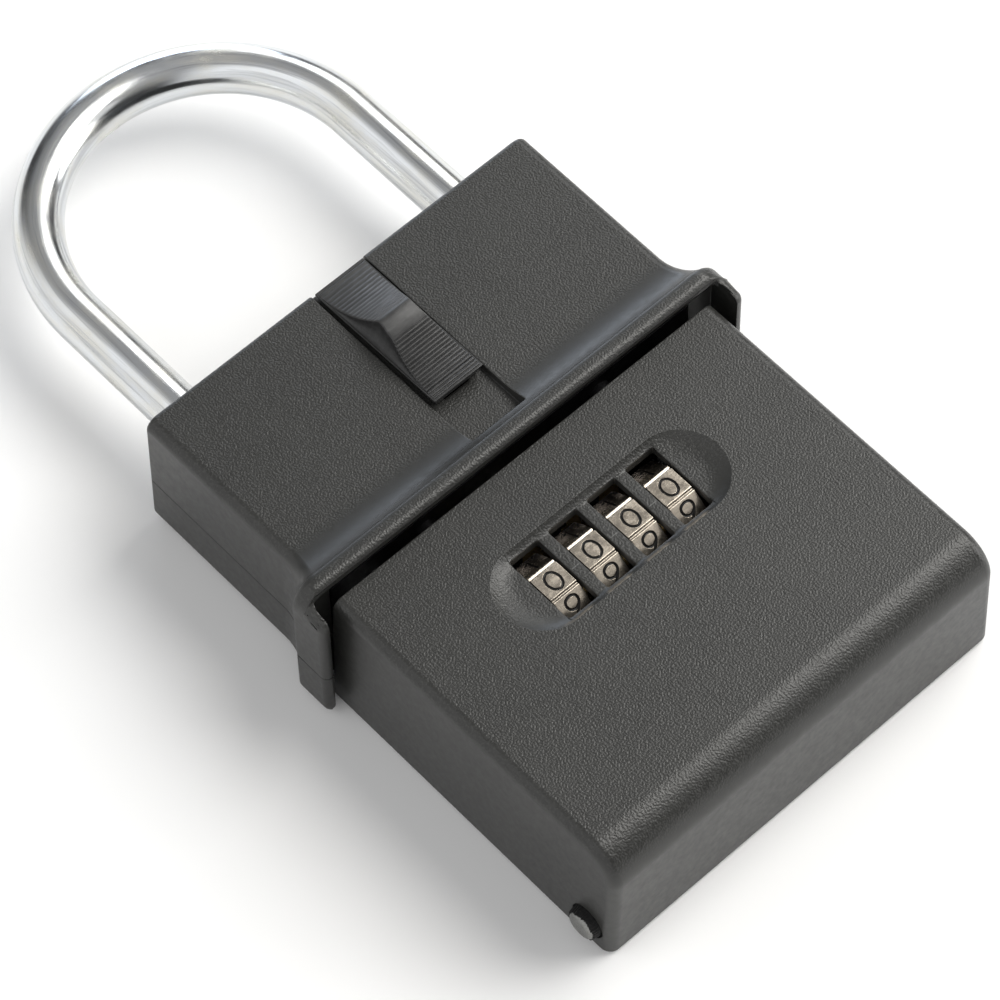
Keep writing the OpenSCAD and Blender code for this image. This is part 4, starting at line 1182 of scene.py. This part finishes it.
def build_floor():
    """Pale floor round the box, which fades into the white background further out."""
    bm = bmesh.new()
    radius, fade_in, fade_out = 1.5, 0.22, 0.6
    bmesh.ops.create_circle(bm, cap_ends=True, segments=96, radius=radius)
    colour = colours_now().floor
    material, tree, shader = finish("pale_floor", colour, 0, 0.9, Specular_IOR_Level=0.0)
    place = object_place(tree)
    away = put(tree, "ShaderNodeVectorMath", {0: place}, operation="LENGTH").outputs["Value"]
    seen = background_rays(tree)
    fade = maths(tree, "MULTIPLY", span(tree, away, fade_in, fade_out, smooth=True), seen)
    white = put(tree, "ShaderNodeEmission", {"Color": (1, 1, 1, 1), "Strength": 1.0})
    mixed = put(tree, "ShaderNodeMixShader", {0: fade, 1: shader.outputs[0], 2: white.outputs[0]})
    output = next(n for n in tree.nodes if n.type == "OUTPUT_MATERIAL")
    tree.links.new(mixed.outputs[0], output.inputs["Surface"])
    floor = add_object("floor", bm, material)
    floor.location.z = -0.0004


def build_room():
    """White background, and light on the box from a room that is bright overhead and at the left."""
    world = bpy.data.worlds.new("soft_room")
    bpy.context.scene.world = world
    world.use_nodes = True
    tree = world.node_tree
    backdrop = next(n for n in tree.nodes if n.type == "BACKGROUND")
    way = put(tree, "ShaderNodeSeparateXYZ", {0: put(tree, "ShaderNodeTexCoord").outputs["Generated"]})
    overhead = span(tree, way.outputs["Z"], 0.38, 0.92, 0.06, 0.36, smooth=True)
    left_wall = span(tree, way.outputs["X"], -0.1, -0.55, 0.0, 0.85, smooth=True)
    overhead = maths(tree, "ADD", overhead, left_wall)
    horizon = span(tree, way.outputs["Z"], 0.02, 0.16, 1.0, 0.0, smooth=True)
    seen = background_rays(tree, horizon)
    backdrop.inputs["Color"].default_value = (1.0, 1.0, 1.0, 1)
    strength = put(tree, "ShaderNodeMix", {0: seen, 2: overhead, 3: 1.0}, data_type="FLOAT").outputs[0]
    tree.links.new(strength, backdrop.inputs["Strength"])


def build_stage():
    """Floor, room, soft lamps and the camera at the photograph's viewing angle."""
    scene = bpy.context.scene
    build_floor()
    build_room()
    lamp("key", (0.57, -0.16, 0.81), 0.72, 7.9, (1.0, 0.985, 0.95))
    lamp("side", (0.66, 0.45, 0.60), 0.54, 1.6, (1.0, 1.0, 0.98))
    lamp("fill", (0.42, -0.66, 0.62), 0.36, 0.2, (1.0, 0.99, 0.97))
    lamp("front", (0.78, -0.55, 0.32), 0.60, 3.6, (1.0, 0.995, 0.98))
    lamp("window", (0.50, 0.85, 0.26), 0.5, 2.6, (0.80, 0.88, 1.0))

    camera = bpy.data.cameras.new("camera")
    camera.lens = 179.987
    camera.sensor_width = 36
    camera.clip_start, camera.clip_end = 0.05, 10
    obj = link_new("camera", camera)
    right = Vector((0.73452, -0.67846, -0.01313))
    up = Vector((0.58723, 0.62582, 0.51334))
    back = Vector((-0.34006, -0.38477, 0.85809))
    turn = Matrix((right, up, back)).transposed()
    obj.matrix_world = Matrix.Translation((-0.249661, SPLIT - 0.276811, 0.633865)) @ turn.to_4x4()
    scene.camera = obj
    scene.view_settings.view_transform = "Standard"


# Operators, panel and registration

class LOCKBOX_OT_housing(bpy.types.Operator):
    """Build the front and back shell of the housing with flare, collar and slide channel"""

    bl_idname = "lockbox.housing"
    bl_label = "Housing"

    def execute(self, context):
        build_front_housing()
        build_rear_housing()
        return {"FINISHED"}


class LOCKBOX_OT_door(bpy.types.Operator):
    """Build the key door with its dial recess and windows"""

    bl_idname = "lockbox.door"
    bl_label = "Door"

    def execute(self, context):
        build_door()
        build_index_lines()
        return {"FINISHED"}


class LOCKBOX_OT_slide(bpy.types.Operator):
    """Build the ribbed thumb slide"""

    bl_idname = "lockbox.slide"
    bl_label = "Thumb slide"

    def execute(self, context):
        build_slide()
        return {"FINISHED"}


class LOCKBOX_OT_shackle(bpy.types.Operator):
    """Build the bent and plated shackle rod"""

    bl_idname = "lockbox.shackle"
    bl_label = "Shackle"

    def execute(self, context):
        build_shackle()
        return {"FINISHED"}


class LOCKBOX_OT_dials(bpy.types.Operator):
    """Build the four ten-sided dials with cut and painted digits"""

    bl_idname = "lockbox.dials"
    bl_label = "Dials"

    def execute(self, context):
        build_dials()
        return {"FINISHED"}


class LOCKBOX_OT_rivet(bpy.types.Operator):
    """Build the hinge rivet with its hammered heads"""

    bl_idname = "lockbox.rivet"
    bl_label = "Hinge rivet"

    def execute(self, context):
        build_hinge_pin()
        build_rivet_shade_sleeves()
        return {"FINISHED"}


class LOCKBOX_OT_fittings(bpy.types.Operator):
    """Give the inner plates, screws, springs and brass pieces their finishes"""

    bl_idname = "lockbox.fittings"
    bl_label = "Inner fittings"

    def execute(self, context):
        build_fittings()
        return {"FINISHED"}


class LOCKBOX_OT_stage(bpy.types.Operator):
    """Set up the pale floor, the soft light and the camera"""

    bl_idname = "lockbox.stage"
    bl_label = "Stage"

    def execute(self, context):
        build_stage()
        return {"FINISHED"}


class LOCKBOX_PT_panel(bpy.types.Panel):
    """Sidebar panel with the pieces of the lock box and their sizes and colours"""

    bl_idname = "LOCKBOX_PT_panel"
    bl_label = "Lock box"
    bl_space_type = "VIEW_3D"
    bl_region_type = "UI"
    bl_category = "Lock box"

    def draw(self, context):
        layout = self.layout
        for group in (context.scene.lock_box_sizes, context.scene.lock_box_colours):
            column = layout.column()
            for key in group.__annotations__:
                column.prop(group, key)
        for operator in OPERATORS:
            layout.operator(operator.bl_idname)


OPERATORS = (LOCKBOX_OT_housing, LOCKBOX_OT_door, LOCKBOX_OT_slide, LOCKBOX_OT_shackle, LOCKBOX_OT_dials,
             LOCKBOX_OT_rivet, LOCKBOX_OT_fittings, LOCKBOX_OT_stage)
CLASSES = (LockBoxSizes, LockBoxColours, *OPERATORS, LOCKBOX_PT_panel)


def register():
    for cls in CLASSES:
        bpy.utils.register_class(cls)
    bpy.types.Scene.lock_box_sizes = PointerProperty(type=LockBoxSizes)
    bpy.types.Scene.lock_box_colours = PointerProperty(type=LockBoxColours)


def unregister():
    del bpy.types.Scene.lock_box_colours
    del bpy.types.Scene.lock_box_sizes
    for cls in reversed(CLASSES):
        bpy.utils.unregister_class(cls)


def main():
    register()
    bpy.ops.lockbox.housing()
    bpy.ops.lockbox.door()
    bpy.ops.lockbox.slide()
    bpy.ops.lockbox.shackle()
    bpy.ops.lockbox.dials()
    bpy.ops.lockbox.rivet()
    bpy.ops.lockbox.fittings()
    bpy.ops.lockbox.stage()


if __name__ == "__main__":
    main()
